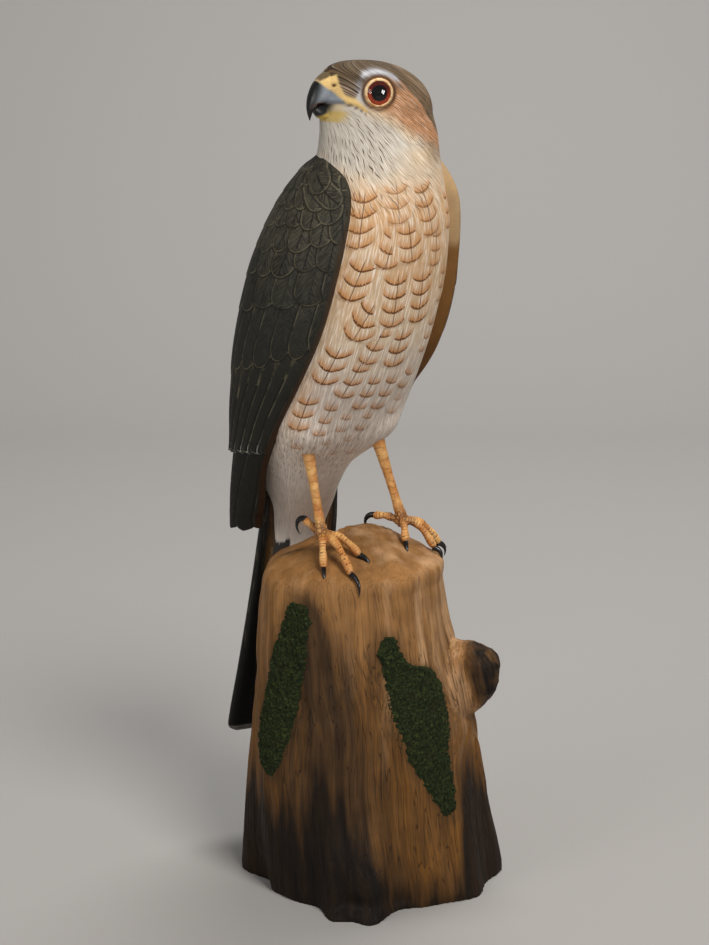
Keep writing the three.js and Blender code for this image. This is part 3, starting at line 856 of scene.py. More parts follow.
@dataclass(frozen=True)
class LegPaint(Finish):
    """Orange leg skin with scutes, folds and dark lines between them."""

    def colour(self, nodes: Nodes) -> Look:
        """Lay scute lines, folds and small scales over the skin."""
        place, fold = nodes.here(), nodes.value("fold")
        drift = nodes.noise(place, 260.0, 2.0) - 0.5
        run = nodes.value("along") / nodes.value("scute") + drift * 1.5
        line = nodes.ramp(abs(nodes.math("FRACT", run) - 0.5), 0.38, 0.48) * nodes.value("ring")
        line = line * nodes.ramp(nodes.noise(place, 420.0, 1.0), 0.3, 0.46)
        cells = nodes.add("TexVoronoi", {"Vector": place, "Scale": 560.0}, feature="DISTANCE_TO_EDGE")[0]
        crease = nodes.math("MAXIMUM", line, nodes.fall(cells, 0.05, 0.2) * fold * 0.9)
        tint = nodes.ramp(nodes.noise(place, 150.0, 4.0), 0.32, 0.68)
        base = nodes.mix(tint, Paint.LEG, Paint.LEG_LIGHT)
        base = nodes.mix(fold * 0.3, base, Paint.LEG_FOLD)
        base = nodes.mix(crease * 0.85, base, Paint.LEG_FOLD)
        return nodes.mottled(base, 300.0, 0.24), drift * 0.3 - crease, tint


@dataclass(frozen=True)
class PlainPaint(Finish):
    """One paint, mottled and faintly brushed."""

    paint: Paint = Paint.CLAW
    second: Paint = Paint.BEAK_BLACK
    scale: float = 300.0

    def colour(self, nodes: Nodes) -> Look:
        """Mottle the paint with its second tone."""
        patch = nodes.noise(nodes.here(), self.scale, 4.0)
        return nodes.mix(nodes.ramp(patch, 0.35, 0.7), self.paint, self.second), patch, patch


@dataclass(frozen=True)
class StumpStain(Finish):
    """Stained and scorched stump wood with its grain showing."""

    def colour(self, nodes: Nodes) -> Look:
        """Lay grain, veins, cracks and flecks of moss over the stain."""
        grain = nodes.group(WoodGrain(), {"Flow": nodes.triple("flow")})
        show = nodes.value("grain")
        base = nodes.mix(grain["Veins"] * (show * 0.2), nodes.triple("paint"), Paint.WOOD)
        base = nodes.mix((1.0 - grain["Fibres"]) * (show * 0.5), base, Paint.WOOD_DARK)
        base = nodes.mix(grain["Cracks"] * (show * 0.6), base, Paint.WOOD_BURNT)
        base = nodes.mottled(base, 120.0, 0.3)
        crumb = nodes.noise(nodes.here(), 900.0, 3.0, 0.7) + nodes.value("halo") * 0.2
        base = nodes.mix(nodes.math("GREATER_THAN", crumb, 0.82) * 0.8, base, Paint.MOSS)
        return base, grain["Height"], grain["Fibres"]


@dataclass(frozen=True)
class MossFlock(Finish):
    """Dark green flock in rough crumbs."""

    def colour(self, nodes: Nodes) -> Look:
        """Mix greens by the crumb, and darken where the crumb sinks as painted shade."""
        crumb, patch = nodes.noise(nodes.here(), 900.0, 4.0, 0.7), nodes.noise(nodes.here(), 110.0, 3.0)
        base = nodes.mix(nodes.ramp(crumb, 0.4, 0.75), Paint.MOSS, Paint.MOSS_LIGHT)
        # Darker where the crumbs sink and on the buried side: painted shade between the crumbs.
        base = nodes.mix((1.0 - nodes.value("proud")) * 0.6, base, Paint.WOOD_BURNT)
        base = nodes.mix(nodes.ramp(patch, 0.55, 0.75) * 0.35, base, Paint.WOOD_DARK)
        return base, crumb, crumb


@dataclass(frozen=True)
class IrisPaint(Finish):
    """Red-brown iris round a black pupil, painted behind the glass."""

    pupil: float = 3.0

    def colour(self, nodes: Nodes) -> Look:
        """Shade by the distance from the eye's middle, with fine spokes, and darken the top as painted shade.
        """
        out = nodes.value("out")
        spokes = nodes.noise(nodes.triple("spoke"), 1.0, 3.0)
        base = nodes.mix(nodes.ramp(spokes, 0.35, 0.7) * 0.6, Paint.IRIS, Paint.IRIS_DARK)
        outer = nodes.ramp(out, 4.9, 5.5) * 0.7
        inner = nodes.fall(out, self.pupil, self.pupil + 1.0) * 0.75
        # Darker towards the top of the iris: painted shade.
        upper = nodes.ramp(nodes.value("up"), -0.3, 0.7) * 0.85
        for shade in (outer, inner, upper):
            base = nodes.mix(shade, base, Paint.IRIS_DARK)
        return nodes.mix(nodes.fall(out, self.pupil, self.pupil + 0.3), base, Paint.PUPIL), spokes, spokes


def glass() -> bpy.types.Material:
    """Clear glass of the eyes."""
    made = bpy.data.materials.new("eye glass")
    made.use_nodes = True
    nodes, shader = Nodes(made.node_tree), made.node_tree.nodes["Principled BSDF"]
    haze = nodes.noise(nodes.here(), 200.0, 2.0)
    rough = nodes.add("MapRange", {"Value": haze, "To Min": 0.01, "To Max": 0.05})[0]
    nodes.feed(shader.inputs["Roughness"], rough)
    shader.inputs["Base Color"].default_value = (1.0, 1.0, 1.0, 1.0)
    shader.inputs["Transmission Weight"].default_value = 1.0
    shader.inputs["IOR"].default_value = 1.45
    return made


@dataclass
class Feather:
    """One feather laid on a sheet: its tip's place, size and look."""

    angle: float
    z: float
    lean: float
    length: float
    half: float
    tip: float
    tone: float
    square: float = 2.2
    bars: int = 0
    bar_half: float = 0.0
    bend: float = 0.05
    strength: float = 1.0


@dataclass
class Coat:
    """Overlapping feathers on a sheet of points, each later one over the earlier ones."""

    angle: Array
    z: Array
    reach: Array
    thick: float = 0.45
    near: float = 1.6
    edge: Array = field(init=False)
    gap: Array = field(init=False)
    along: Array = field(init=False)
    across: Array = field(init=False)
    tone: Array = field(init=False)
    height: Array = field(init=False)
    bar: Array = field(init=False)
    bar_gain: Array = field(init=False)
    shaft: Array = field(init=False)

    def __post_init__(self) -> None:
        """Start with a bare sheet."""
        for name in ("along", "across", "tone", "height", "bar", "bar_gain", "shaft"):
            setattr(self, name, np.zeros(self.z.shape))
        self.edge, self.gap = np.full(self.z.shape, FAR), np.full(self.z.shape, FAR)

    def lay(self, feather: Feather) -> None:
        """Lay one feather over those already there."""
        rise = self.z - feather.z
        wide = self.reach * turn_between(feather.angle, self.angle)
        size = feather.half + self.near + abs(math.sin(feather.lean)) * feather.length
        box = (rise > -self.near - feather.half) & (rise < feather.length + self.near) & (np.abs(wide) < size)
        if not box.any():
            return
        dx, dz = wide[box], rise[box]
        cosine, sine = math.cos(feather.lean), math.sin(feather.lean)
        along, across = dz * cosine + dx * sine, dx * cosine - dz * sine
        inward = np.clip(1 - along / feather.tip, 0, None)
        share = np.abs(across) / feather.half
        power = feather.square
        level = np.maximum((inward**power + share**power) ** (1 / power), 1e-3)
        steep = np.hypot(inward ** (power - 1) / feather.tip, share ** (power - 1) / feather.half)
        deep = (1 - level) / np.maximum(steep * level ** (1 - power), 1e-3)
        deep = np.where(along > feather.tip, feather.half - np.abs(across), deep)
        deep = np.minimum(deep, feather.length - along + 1.0)
        inside = deep > 0
        spot = np.argwhere(box)
        hit = tuple(spot[inside].T)
        miss = tuple(spot[~inside].T)
        self.gap[miss] = np.minimum(self.gap[miss], -deep[~inside])
        down, aside, inner = along[inside], across[inside], deep[inside]
        self.edge[hit], self.gap[hit], self.along[hit], self.across[hit] = inner, FAR, down, aside
        self.tone[hit] = feather.tone
        slope = np.clip(1 - down / feather.length, 0, 1)
        arch = 0.35 * (1 - (aside / feather.half) ** 2)
        self.height[hit] = self.thick * (slope + arch) - 0.5 * self.thick * fall(0, 0.8, inner)
        if feather.bars:
            line = down - feather.bend * aside * aside
            self.bar[hit] = line
            run = smooth(-0.6, 0.2, line) * fall(-1.6, -0.6, line - feather.bars * BAR_STEP)
            self.bar_gain[hit] = feather.strength * run * fall(0.7, 1.1, np.abs(aside) / feather.bar_half)
        else:
            self.bar_gain[hit] = 0
        top = feather.length * 0.8
        self.shaft[hit] = feather.strength * smooth(-0.5, 2.0, down) * fall(top - 4, top, down)

    def border(self) -> Array:
        """Distance to the nearest feather edge, negative just below one that lies over."""
        return np.where(self.gap < self.edge, -self.gap, self.edge)

    def values(self, hidden: Array | float) -> dict[str, Array]:
        """The feathers' lines and tones, but for a share that other paint hides."""
        lines = {"edge": self.border() + FAR * hidden, "along": self.along, "across": self.across}
        return lines | {"tone": self.tone * (1 - hidden), "shaft": self.shaft * (1 - hidden)}

    def relief(self) -> Array:
        """Height of the carved feathers above the sheet."""
        return self.height - 0.25 * self.thick * bell(np.where(self.gap < self.edge, self.gap, FAR), 0.7)


@dataclass
class HawkForm:
    """The carved body, neck and head: one form from the root of the tail to the crown."""

    # Height, x and y of the middle, reach to the right, left, front and back, and the
    # squareness of the right and the left half.
    rows: Rows = (
        (139, -38.4, 38.3, 10, 8.5, 3.2, 1, 2.2, 2.2), (150, -37.2, 37, 14.8, 11.5, 6, 2, 2.2, 2.2),
        (164, -35.8, 35.5, 15, 13.5, 7.6, 5, 2.2, 2.2), (178, -34, 30, 14.6, 16.4, 10.5, 8.5, 2.2, 2.2),
        (191, -32.3, 24, 19.4, 18, 16, 12.5, 2.1, 2.1), (203, -30.2, 17.5, 24, 20.5, 22, 17, 2.1, 2.1),
        (212, -28.4, 13, 29, 27, 27, 21, 2.1, 2.1), (221, -26.6, 8.5, 34, 34.5, 31.5, 24.5, 2.1, 2.1),
        (234, -24, 3.5, 38, 39.5, 35, 28.5, 2.15, 2.15), (252, -19, -2.5, 40.5, 40.5, 38, 33, 2.15, 2.15),
        (275, -13, -9.5, 41.5, 41, 38.5, 35, 2.15, 2.15), (300, -7, -15, 40, 40, 37, 35, 2.1, 2.1),
        (320, -2.5, -19, 36, 36, 33.5, 33, 2.1, 2.1), (336, 0.8, -21.3, 30.5, 30.5, 29, 29.5, 2, 2),
        (348, 2.2, -22, 27.3, 27.3, 25, 26, 1.95, 2), (358, 2.2, -22, 26.4, 26.4, 21.5, 22.5, 1.85, 2.05),
        (366, 1.6, -22, 26.4, 24.9, 19.5, 20, 1.75, 2.1),
    )
    brow_z: float = 366
    crown_z: float = 389
    crown_power: float = 2.6
    crown_drift: float = 8.5
    # Tops of the shanks, and the thighs' size, spread in degrees, height and lift above them.
    leg_tops: Rows = ((-28.8, -20, 216), (3.2, -5, 215.5))
    thigh: tuple[float, float, float, float] = (5, 17, 11, 5)

    def __post_init__(self) -> None:
        """Make the form's curve."""
        self.curve = Curve(self.rows)

    def swell(self, x: Array, y: Array, z: Array, angle: Array) -> Array:
        """How far the belly swells round the tops of the legs."""
        size, spread, height, lift = self.thigh
        total = np.zeros(np.broadcast(x, angle).shape)
        for tx, ty, tz in self.leg_tops:
            east, north = tx - x, ty - y
            to_leg = np.arctan2(east * FORWARD[0] + north * FORWARD[1], east * RIGHT[0] + north * RIGHT[1])
            turn = turn_between(to_leg, angle) / (spread * DEG)
            total = total + size * np.exp(-turn * turn - ((z - tz - lift) / height) ** 2)
        return total

    def over_brow(self, z: Array) -> Array:
        """How far a height is from the brow, 0, to the crown, 1."""
        return np.clip((z - self.brow_z) / (self.crown_z - self.brow_z), 0, 1)

    def reach(self, z: Array, angle: Array) -> tuple[Array, Array]:
        """Reach of the form at heights and angles, and its rows there."""
        row = self.curve.at(z)
        right, left, front, back, square_right, square_left = (row[..., k] for k in range(2, 8))
        shrink = (1 - self.over_brow(z) ** self.crown_power) ** (1 / self.crown_power)
        out = oblong(angle, (right, left, front, back), (square_right, square_left)) * shrink
        return out + self.swell(row[..., 0], row[..., 1], z, angle), row

    def place(self, z: Array, angle: Array) -> tuple[Array, Array]:
        """Points of the form, and their reach."""
        out, row = self.reach(z, angle)
        rise = self.over_brow(z)
        points = round_hawk(row[..., 0], row[..., 1], z, angle, out)
        return points + RIGHT * (self.crown_drift * rise * rise)[..., None], out


@dataclass
class EyeForm:
    """Where an eye sits in the head, and its shape."""

    side: int
    z: float = 376.2
    ahead: float = 7.1
    aside: float = 15.6
    radius: float = 5.5
    bulge: float = 3.4
    turn: float = 14 * DEG

    def __post_init__(self) -> None:
        """Work out the eye's own directions."""
        out = FORWARD * self.side
        self.normal = out * math.cos(self.turn) + RIGHT * math.sin(self.turn)
        self.across = np.cross(UP, self.normal)
        self.centre = HEAD + RIGHT * self.ahead + out * self.aside + UP * self.z

    def local(self, points: Array) -> tuple[Array, Array, Array]:
        """Distances across, up and out from the eye's middle."""
        off = points - self.centre
        return off @ self.across, off @ UP, off @ self.normal

    def world(self, across: Array, up: Array, out: Array) -> Array:
        """Points from distances across, up and out."""
        aside, above = across[..., None] * self.across, up[..., None] * UP
        return self.centre + aside + above + out[..., None] * self.normal


@dataclass
class Face:
    """Painted zones of the face, by the distance ahead, aside and up in the head."""

    # Turn from the beak in degrees, and height of the cheek's lower edge.
    cheek_rows: Rows = ((44, 372), (54, 368), (77, 364), (92, 359.5), (111, 354), (140, 350), (180, 346))
    # Height, and distance ahead at which the yellow skin ends.
    cere_rows: Rows = (
        (370, 19), (372.5, 20.6), (375.1, 22.9), (376.8, 24.3), (378.2, 26.5), (379.8, 28.2), (383, 30),
    )
    # Turn from the beak in degrees, and height of the crown's lower edge.
    crown_rows: Rows = (
        (0, 376), (24, 373.5), (38, 374.5), (46, 378.5), (55, 382.5), (80, 383.8), (92, 381.9),
        (104, 379.4), (114, 376), (125, 372), (141, 365), (160, 356), (180, 350),
    )

    @staticmethod
    def mouth(ahead: Array) -> Array:
        """Height of the mouth line."""
        return 371.6 - 0.047 * np.clip(22 - ahead, 0, 12) ** 2 - 0.18 * np.clip(ahead - 29, 0, 4) ** 2

    def cere_line(self, z: Array) -> Array:
        """Distance ahead at which the yellow skin meets the horn."""
        return Curve(self.cere_rows).line(z)

    @staticmethod
    def nostril(ahead: Array, z: Array) -> Array:
        """Distance from the middle of the nostril."""
        return np.hypot(ahead - 23.6, (z - 379.3) * 1.1)

    def lay(self, base: Array, points: Array) -> tuple[Array, dict[str, Array]]:
        """Paint the face.

        Args:
            base: colours under the face's paint.
            points: where they are.

        Returns:
            The colours, and the shares of crown, cheek and bare skin.
        """
        off = points - HEAD
        ahead, side, z = off @ RIGHT, np.abs(off @ FORWARD), points[..., 2]
        turn = np.degrees(np.arctan2(side, ahead))
        wander = 1.6 * cloud(points / 4.5, 5)
        over = z - Curve(self.cheek_rows).line(turn) + wander
        cheek = smooth(-3.5, 3.5, over) * smooth(42, 58, turn + 2 * wander)
        crown = smooth(-1.4, 1.4, z - Curve(self.crown_rows).line(turn) + wander)
        arch = 384.8 - 0.042 * (ahead - 7.8) ** 2
        brow = bell(z - arch, 1.35) * smooth(-4, 0, ahead) * fall(13, 15.5, ahead)
        brow = brow * smooth(8, 10, side)
        strip = bell(ahead - 15.2, 1.3) * smooth(370, 372.5, z) * fall(380, 382.5, z) * (side > 10)
        behind = bell(turn - 95, 10) * bell(z - 379.6 + 0.11 * (turn - 86), 1.5) * (z > 370)
        cap = smooth(-0.3, 0.3, z - 383.0 + 0.48 * (ahead - 23.9) + 0.2 * wander)
        cap = cap * fall(28.2, 28.8, ahead)
        skin, bare = self.bare_skin(ahead, side, z, 1 - cap)
        base = layered(
            base,
            (Paint.CHEEK_LIGHT, cheek * (1 - 0.85 * smooth(100, 128, turn))),
            (Paint.CHEEK, 0.9 * cheek * smooth(1, 8, over)),
            (Paint.CROWN, crown),
            (Paint.NAPE, crown * smooth(105, 130, turn)),
            (Paint.LORE, crown * fall(377, 383, z) * (turn < 60)),
            (Paint.BROW, np.clip(1.25 * brow, 0, 1)),
            (Paint.BROW, 0.75 * strip),
            (Paint.RIM, 0.8 * behind),
            *skin,
        )
        return base, {"crown": crown * (1 - brow), "cheek": cheek * (1 - crown), "bare": bare}

    def bare_skin(self, ahead: Array, side: Array, z: Array, open_to: Array) -> tuple[list[Coating], Array]:
        """Paints of the beak's horn, its yellow skin and the mouth, with their shares."""
        rise = z - self.mouth(ahead)
        rear = 22.2 - 0.37 * np.clip(380 - z, 0, 9)
        gape_rise = rise / np.clip((ahead - 9) / 8, 0.4, 1)
        hook = smooth(29.6, 30.4, ahead) * (z > 362)
        above = np.maximum(smooth(0, 0.4, rise), hook)
        cere = smooth(-0.6, 0.6, ahead - rear) * above * open_to
        horn = smooth(-0.5, 0.5, ahead - self.cere_line(z)) * above * open_to
        ridge = smooth(-1.8, 1.8, ahead - 27.5 - 0.33 * (380 - z))
        black = horn * np.maximum(ridge, hook * fall(369, 373, z))
        gape = smooth(0, 0.5, rise) * fall(2.8, 4.6, gape_rise)
        gape = gape * smooth(11.8, 12.8, ahead) * (side > 3)
        jaw = (1 - above) * smooth(365.8, 366.8, z) * smooth(19.5, 22, ahead)
        chin = smooth(363.2, 364.4, z) * fall(367.4, 369.4, z)
        chin = chin * smooth(17.6, 22.6, ahead + 0.5 * (z - 366)) * (1 - hook)
        low = 367.4 - 0.5 * np.clip(ahead - 26, 0, 4)
        tip = smooth(23.2, 26.2, ahead + 0.4 * (z - 369)) * smooth(-0.9, 0.7, z - low)
        line = bell(rise, 0.36) * smooth(12.2, 13.2, ahead) * (side > 2)
        skin = [
            (Paint.GAPE, gape),
            (Paint.CERE, cere),
            (Paint.BEAK_BLUE, horn),
            (Paint.BEAK_BLACK, black),
            (Paint.JAW, jaw),
            (Paint.CHIN, 0.85 * chin),
            (Paint.BEAK_BLACK, (1 - above) * tip),
            (Paint.UMBER, line),
            (Paint.RIM, fall(0.55, 0.95, self.nostril(ahead, z)) * (side > 3)),
        ]
        return skin, np.clip(cere + horn + 0.5 * gape + jaw + 0.7 * chin, 0, 1)


@dataclass(frozen=True)
class BreastFeather:
    """One barred feather: its tip's height and turn, its lean, its bars, their half width and strength."""

    tip: float
    turn: float
    lean: float
    bars: int
    half: float
    strength: float = 1.0
    widened: float = 1.16
    rim: float = 2.4

    def spread(self, tone: float) -> Feather:
        """The feather as it is laid, its bars widened and a plain rim beside them."""
        half = self.half * self.widened
        size = {"length": self.bars * BAR_STEP + 6, "half": half + self.rim, "tip": 7, "tone": tone}
        bars = {"bars": self.bars, "bar_half": half, "bend": 0.075, "strength": self.strength}
        return Feather(self.turn * DEG, self.tip - 1.0, self.lean * DEG, **size, **bars)


class Hawk:
    """The carved bird's body and head, with its beak and the rings round its eyes."""

    columns = 280
    densest = 100 * DEG
    crowding = 0.38
    facing = 95 * DEG
    # Sizes of each barred feather, as BreastFeather names them, from the highest down.
    feathers: Rows = (
        (323, 87, -10, 3, 5.0, 0.65), (317, 118, -15, 4, 5.2, 0.8), (318, 143, 0, 3, 3.2, 0.8),
        (313, 60.5, -6, 4, 5.4, 0.9), (306, 101.5, -13, 3, 5.4, 0.9), (304, 81, 9, 3, 5.4, 0.9),
        (303, 123, 0, 3, 3.6, 0.75), (290.5, 62.5, 9, 3, 6.2), (285, 139, 0, 3, 3.2, 0.7),
        (278, 117, -7, 4, 5.4), (277.5, 96.5, -6, 4, 6.2), (272.5, 71, 20, 3, 7.2),
        (262, 133, 8, 3, 3.4, 0.75), (261, 84, 16, 3, 4.6, 0.9), (258, 106, 0, 3, 5.4),
        (252, 59.5, 12, 3, 6.0), (246, 122, 18, 2, 3.8, 0.8), (245, 75, 15, 3, 4.8, 0.9),
        (238, 91, 10, 3, 3.6, 0.85), (237, 106.5, 10, 3, 3.8, 0.8), (233, 124, 10, 2, 3.0, 0.5),
        (229, 51.5, 6, 3, 4.6, 0.9), (227, 82, 12, 2, 2.6, 0.6), (226.5, 99, 15, 2, 2.6, 0.6),
        (226, 66, 12, 3, 3.0, 0.75), (221, 93, 12, 1, 2.2, 0.45), (220.5, 74, 12, 1, 2.2, 0.45),
        (219, 52, 10, 1, 2.6, 0.6), (214, 63, 12, 1, 2.0, 0.4), (213.5, 84, 12, 1, 2.0, 0.4),
        (212.5, 103, 12, 1, 2.0, 0.35),
    )

    def __init__(self, form: HawkForm, eyes: Sequence[EyeForm]) -> None:
        """Keep the form and the eyes' places."""
        self.form, self.eyes, self.face = form, eyes, Face()

    def levels(self) -> Array:
        """Heights of the mesh's rows, closer together at the head."""
        low, high = self.form.rows[0][0], self.form.brow_z
        parts = [np.arange(low, 200, 1.4), np.arange(200, 330, 0.8), np.arange(330, high, 0.56)]
        turn = np.linspace(0, math.pi / 2, 46)[:-1] + 0.001
        dome = high + (self.form.crown_z - high) * np.sin(turn) ** (2 / self.form.crown_power)
        return np.concatenate([*parts, dome, [self.form.crown_z - 0.0005]])

    def angles(self) -> Array:
        """Directions of the mesh's columns, closer together on the breast."""
        share = np.arange(self.columns) / self.columns * 2 * math.pi
        return self.densest + share - self.crowding * np.sin(share)

    def plumage(self, z: Array, angle: Array, reach: Array) -> Coat:
        """Breast and belly feathers, laid from the lowest up."""
        coat = Coat(angle, z, reach, thick=0.3)
        random = np.random.default_rng(11)
        for row in reversed(self.feathers):
            coat.lay(BreastFeather(*row).spread(random.uniform(0, 1)))
        return coat

    def flow(self, points: Array, z: Array, angle: Array) -> Array:
        """Direction field of the burned strokes: from the beak over the head and down the body."""
        off = points - (HEAD + UP * 367)
        unit = off / np.maximum(np.linalg.norm(off, axis=-1, keepdims=True), 1e-6)
        crest = -RIGHT * math.sin(10 * DEG) + UP * math.cos(10 * DEG)
        ahead = RIGHT * math.cos(18 * DEG) - UP * math.sin(18 * DEG)
        from_beak = np.arctan2(unit @ FORWARD, unit @ crest)
        from_floor = np.arctan2(unit @ FORWARD, unit @ ahead)
        turn = from_beak - from_floor
        turn = turn + turn_between(turn, math.pi - angle) * fall(314, 346, z)
        along = np.linalg.norm(points - (HEAD + UP * 372 + RIGHT * 20), axis=-1)
        return np.stack([np.cos(turn), np.sin(turn), along], -1)

    def paint(self, points: Array, z: Array, angle: Array) -> dict[str, Array]:
        """Colours of the body's zones, and the shares of its marks."""
        middle = self.form.curve.at(z)
        wide = (points[..., 0] - middle[..., 0]) * RIGHT[0] + (points[..., 1] - middle[..., 1]) * RIGHT[1]
        degrees = np.degrees(np.abs(turn_between(0, angle)))
        wander = cloud(points / 7, 5) * 7
        upper = smooth(268, 306, z + wander) * fall(328, 348, z + wander)
        spots = 0.62 + 0.6 * cloud(points / 4, 8)
        flank = bell(degrees - 48, 8) * smooth(215, 235, z) * fall(300, 330, z)
        throat = smooth(336, 352, z + wander)
        side = throat * smooth(75, 110, degrees + wander) * fall(350, 356, z)
        neck = throat * smooth(108, 136, degrees + wander) * fall(358, 364, z)
        behind = np.degrees(np.abs(turn_between(self.facing, angle)))
        back = fall(336, 350, z + wander) * smooth(98, 110, behind + wander)
        base = layered(
            Paint.CREAM.over(z.shape),
            (Paint.PEACH, np.clip(upper * spots, 0, 1)),
            (Paint.BELLY, fall(240, 282, z + wander)),
            (Paint.PEACH, 0.5 * flank),
            (Paint.THROAT, throat),
            (Paint.CHEEK_LIGHT, side),
            (Paint.NAPE, 0.8 * neck),
            (Paint.DOWN, 0.9 * fall(194, 216, z + wander)),
            (Paint.SLATE, back),
        )
        base, zones = self.face.lay(base, points)
        jag = cloud(np.stack([wide * 0.9, z * 0.1, 0 * z], -1), 14, 3)
        patch = smooth(-0.5, 0.5, 160 + 2.8 * jag - z) * smooth(5.6, 6.2, wide)
        patch = patch * fall(13.4, 14.0, wide)
        base = blend_paint(base, Paint.TAIL, 0.95 * patch * smooth(147, 149, z + jag))
        rim = np.zeros(z.shape)
        for eye in self.eyes:
            beside, above, out = eye.local(points)
            rim = np.maximum(rim, bell(np.hypot(beside, above) - 6.9, 1.05) * (out > -6))
        base = blend_paint(base, Paint.RIM, rim)
        covered = (1 - rim) * (1 - zones["bare"]) * (1 - patch) * (1 - 0.85 * back)
        dash = smooth(331, 342, z) * fall(366, 370, z) * fall(62, 92, degrees)
        dash = dash * (1 - zones["cheek"])
        lower = smooth(322, 330, z) * fall(338, 348, z) * fall(120, 140, degrees)
        low = 0.42 * smooth(192, 200, z) * fall(224, 234, z) * fall(112, 130, degrees)
        return {
            "paint": base,
            "dash": np.maximum(dash, 0.6 * lower) * covered,
            "speckle": np.maximum(0.95 * zones["cheek"], low) * covered,
            "hair": (0.95 * zones["crown"] + 0.3 * zones["cheek"] + 0.16 * throat) * covered,
            "stroke": (0.42 + 0.35 * zones["crown"] + 0.1 * zones["cheek"]) * covered + 0.4 * back,
            "lift": (0.6 - 0.45 * zones["crown"] - 0.2 * zones["cheek"]) * covered,
        }

    def carve(self, points: Array, normal: Array, coat: Coat) -> Array:
        """Move the form's points to the carved surface."""
        off = points - HEAD
        ahead, side, z = off @ RIGHT, np.abs(off @ FORWARD), points[..., 2]
        height = coat.relief() * smooth(200, 215, z) * fall(328, 345, z)
        arch = bell(z - 384.4 + 0.04 * (ahead - 7.8) ** 2, 1.8)
        brow = arch * smooth(-6, 1, ahead) * fall(13, 17, ahead) * smooth(7, 10, side)
        rise = z - self.face.mouth(ahead)
        gape = smooth(11.8, 13.5, ahead) * (side > 2)
        height = height + 0.8 * brow - 0.6 * bell(rise, 0.55) * gape + 0.35 * bell(rise - 1.5, 1.0) * gape
        height = height - 0.35 * bell(ahead - 17.5, 2.5) * bell(z - 377.5, 3.5) * (side > 5)
        hole = self.face.nostril(ahead, z)
        height = height + (0.2 * bell(hole - 1.4, 0.5) - 0.7 * bell(hole, 0.7)) * (side > 3)
        made = points + normal * height[..., None]
        for eye in self.eyes:
            beside, above, out = eye.local(made)
            away = np.hypot(beside, above)
            seat = 1.0 - 0.26 * np.clip(away - 5.7, 0, 4) - 2.6 * fall(4.6, 5.4, away)
            share = fall(6.6, 9.2, away) * (out > -6)
            made = made + eye.normal * ((seat - out) * share)[..., None]
        return made

    def build(self) -> bpy.types.Object:
        """Make the body, head, beak and eye rings as one piece."""
        maker = MeshMaker()
        z, angle = np.meshgrid(self.levels(), self.angles(), indexing="ij")
        points, reach = self.form.place(z, angle)
        coat = self.plumage(z, angle, reach)
        normal = sheet_normals(points, closed=True)
        outward = np.sign(np.sum(normal * (points - points.mean(1, keepdims=True)), -1, keepdims=True))
        made = self.carve(points, normal * outward, coat)
        values = self.paint(made, z, angle)
        values |= {"flow": self.flow(made, z, angle), "bar": coat.bar, "bar_gain": coat.bar_gain}
        values |= {"across": coat.across, "shaft": coat.shaft}
        maker.tube(made, values)
        Beak(self.face).build(maker, slot=1)
        for eye in self.eyes:
            self.eye_ring(maker, eye, slot=2)
        piece = maker.build("hawk_body")
        BodyPaint("body paint", Gloss(0.66, 0.08, specular=0.22), 0.6, 0.4).dress(piece)
        BeakPaint("beak paint", Gloss(0.4, 0.05, 0.1, 0.2, 0.4), 0.08, 0.1).dress(piece)
        ring = Gloss(0.4, 0.05, specular=0.3)
        PlainPaint("eye ring paint", ring, 0.3, 0.2, Paint.EYE_RING, Paint.RUFOUS, 420.0).dress(piece)
        return piece

    @staticmethod
    def eye_ring(maker: MeshMaker, eye: EyeForm, slot: int) -> None:
        """Add the raised ring of bare skin round one eye."""
        around, tube = np.meshgrid(all_round(96), all_round(16), indexing="ij")
        thick = 0.6 + 0.05 * np.sin(around * 9) + 0.05 * np.sin(around * 23 + 1)
        radius = 5.6 + thick * np.cos(tube)
        out = 1.0 + 0.5 * np.sin(tube) - 0.3 * np.cos(tube)
        rings = eye.world(radius * np.cos(around), radius * np.sin(around), out)
        start = maker.add(rings)
        rows, columns = rings.shape[:2]
        maker.sheet(start, rows, columns, closed=True, slot=slot)
        last, j = start + (rows - 1) * columns, np.arange(columns)
        after = (j + 1) % columns
        maker.faces.append((np.stack([last + j, last + after, start + after, start + j], -1), slot))


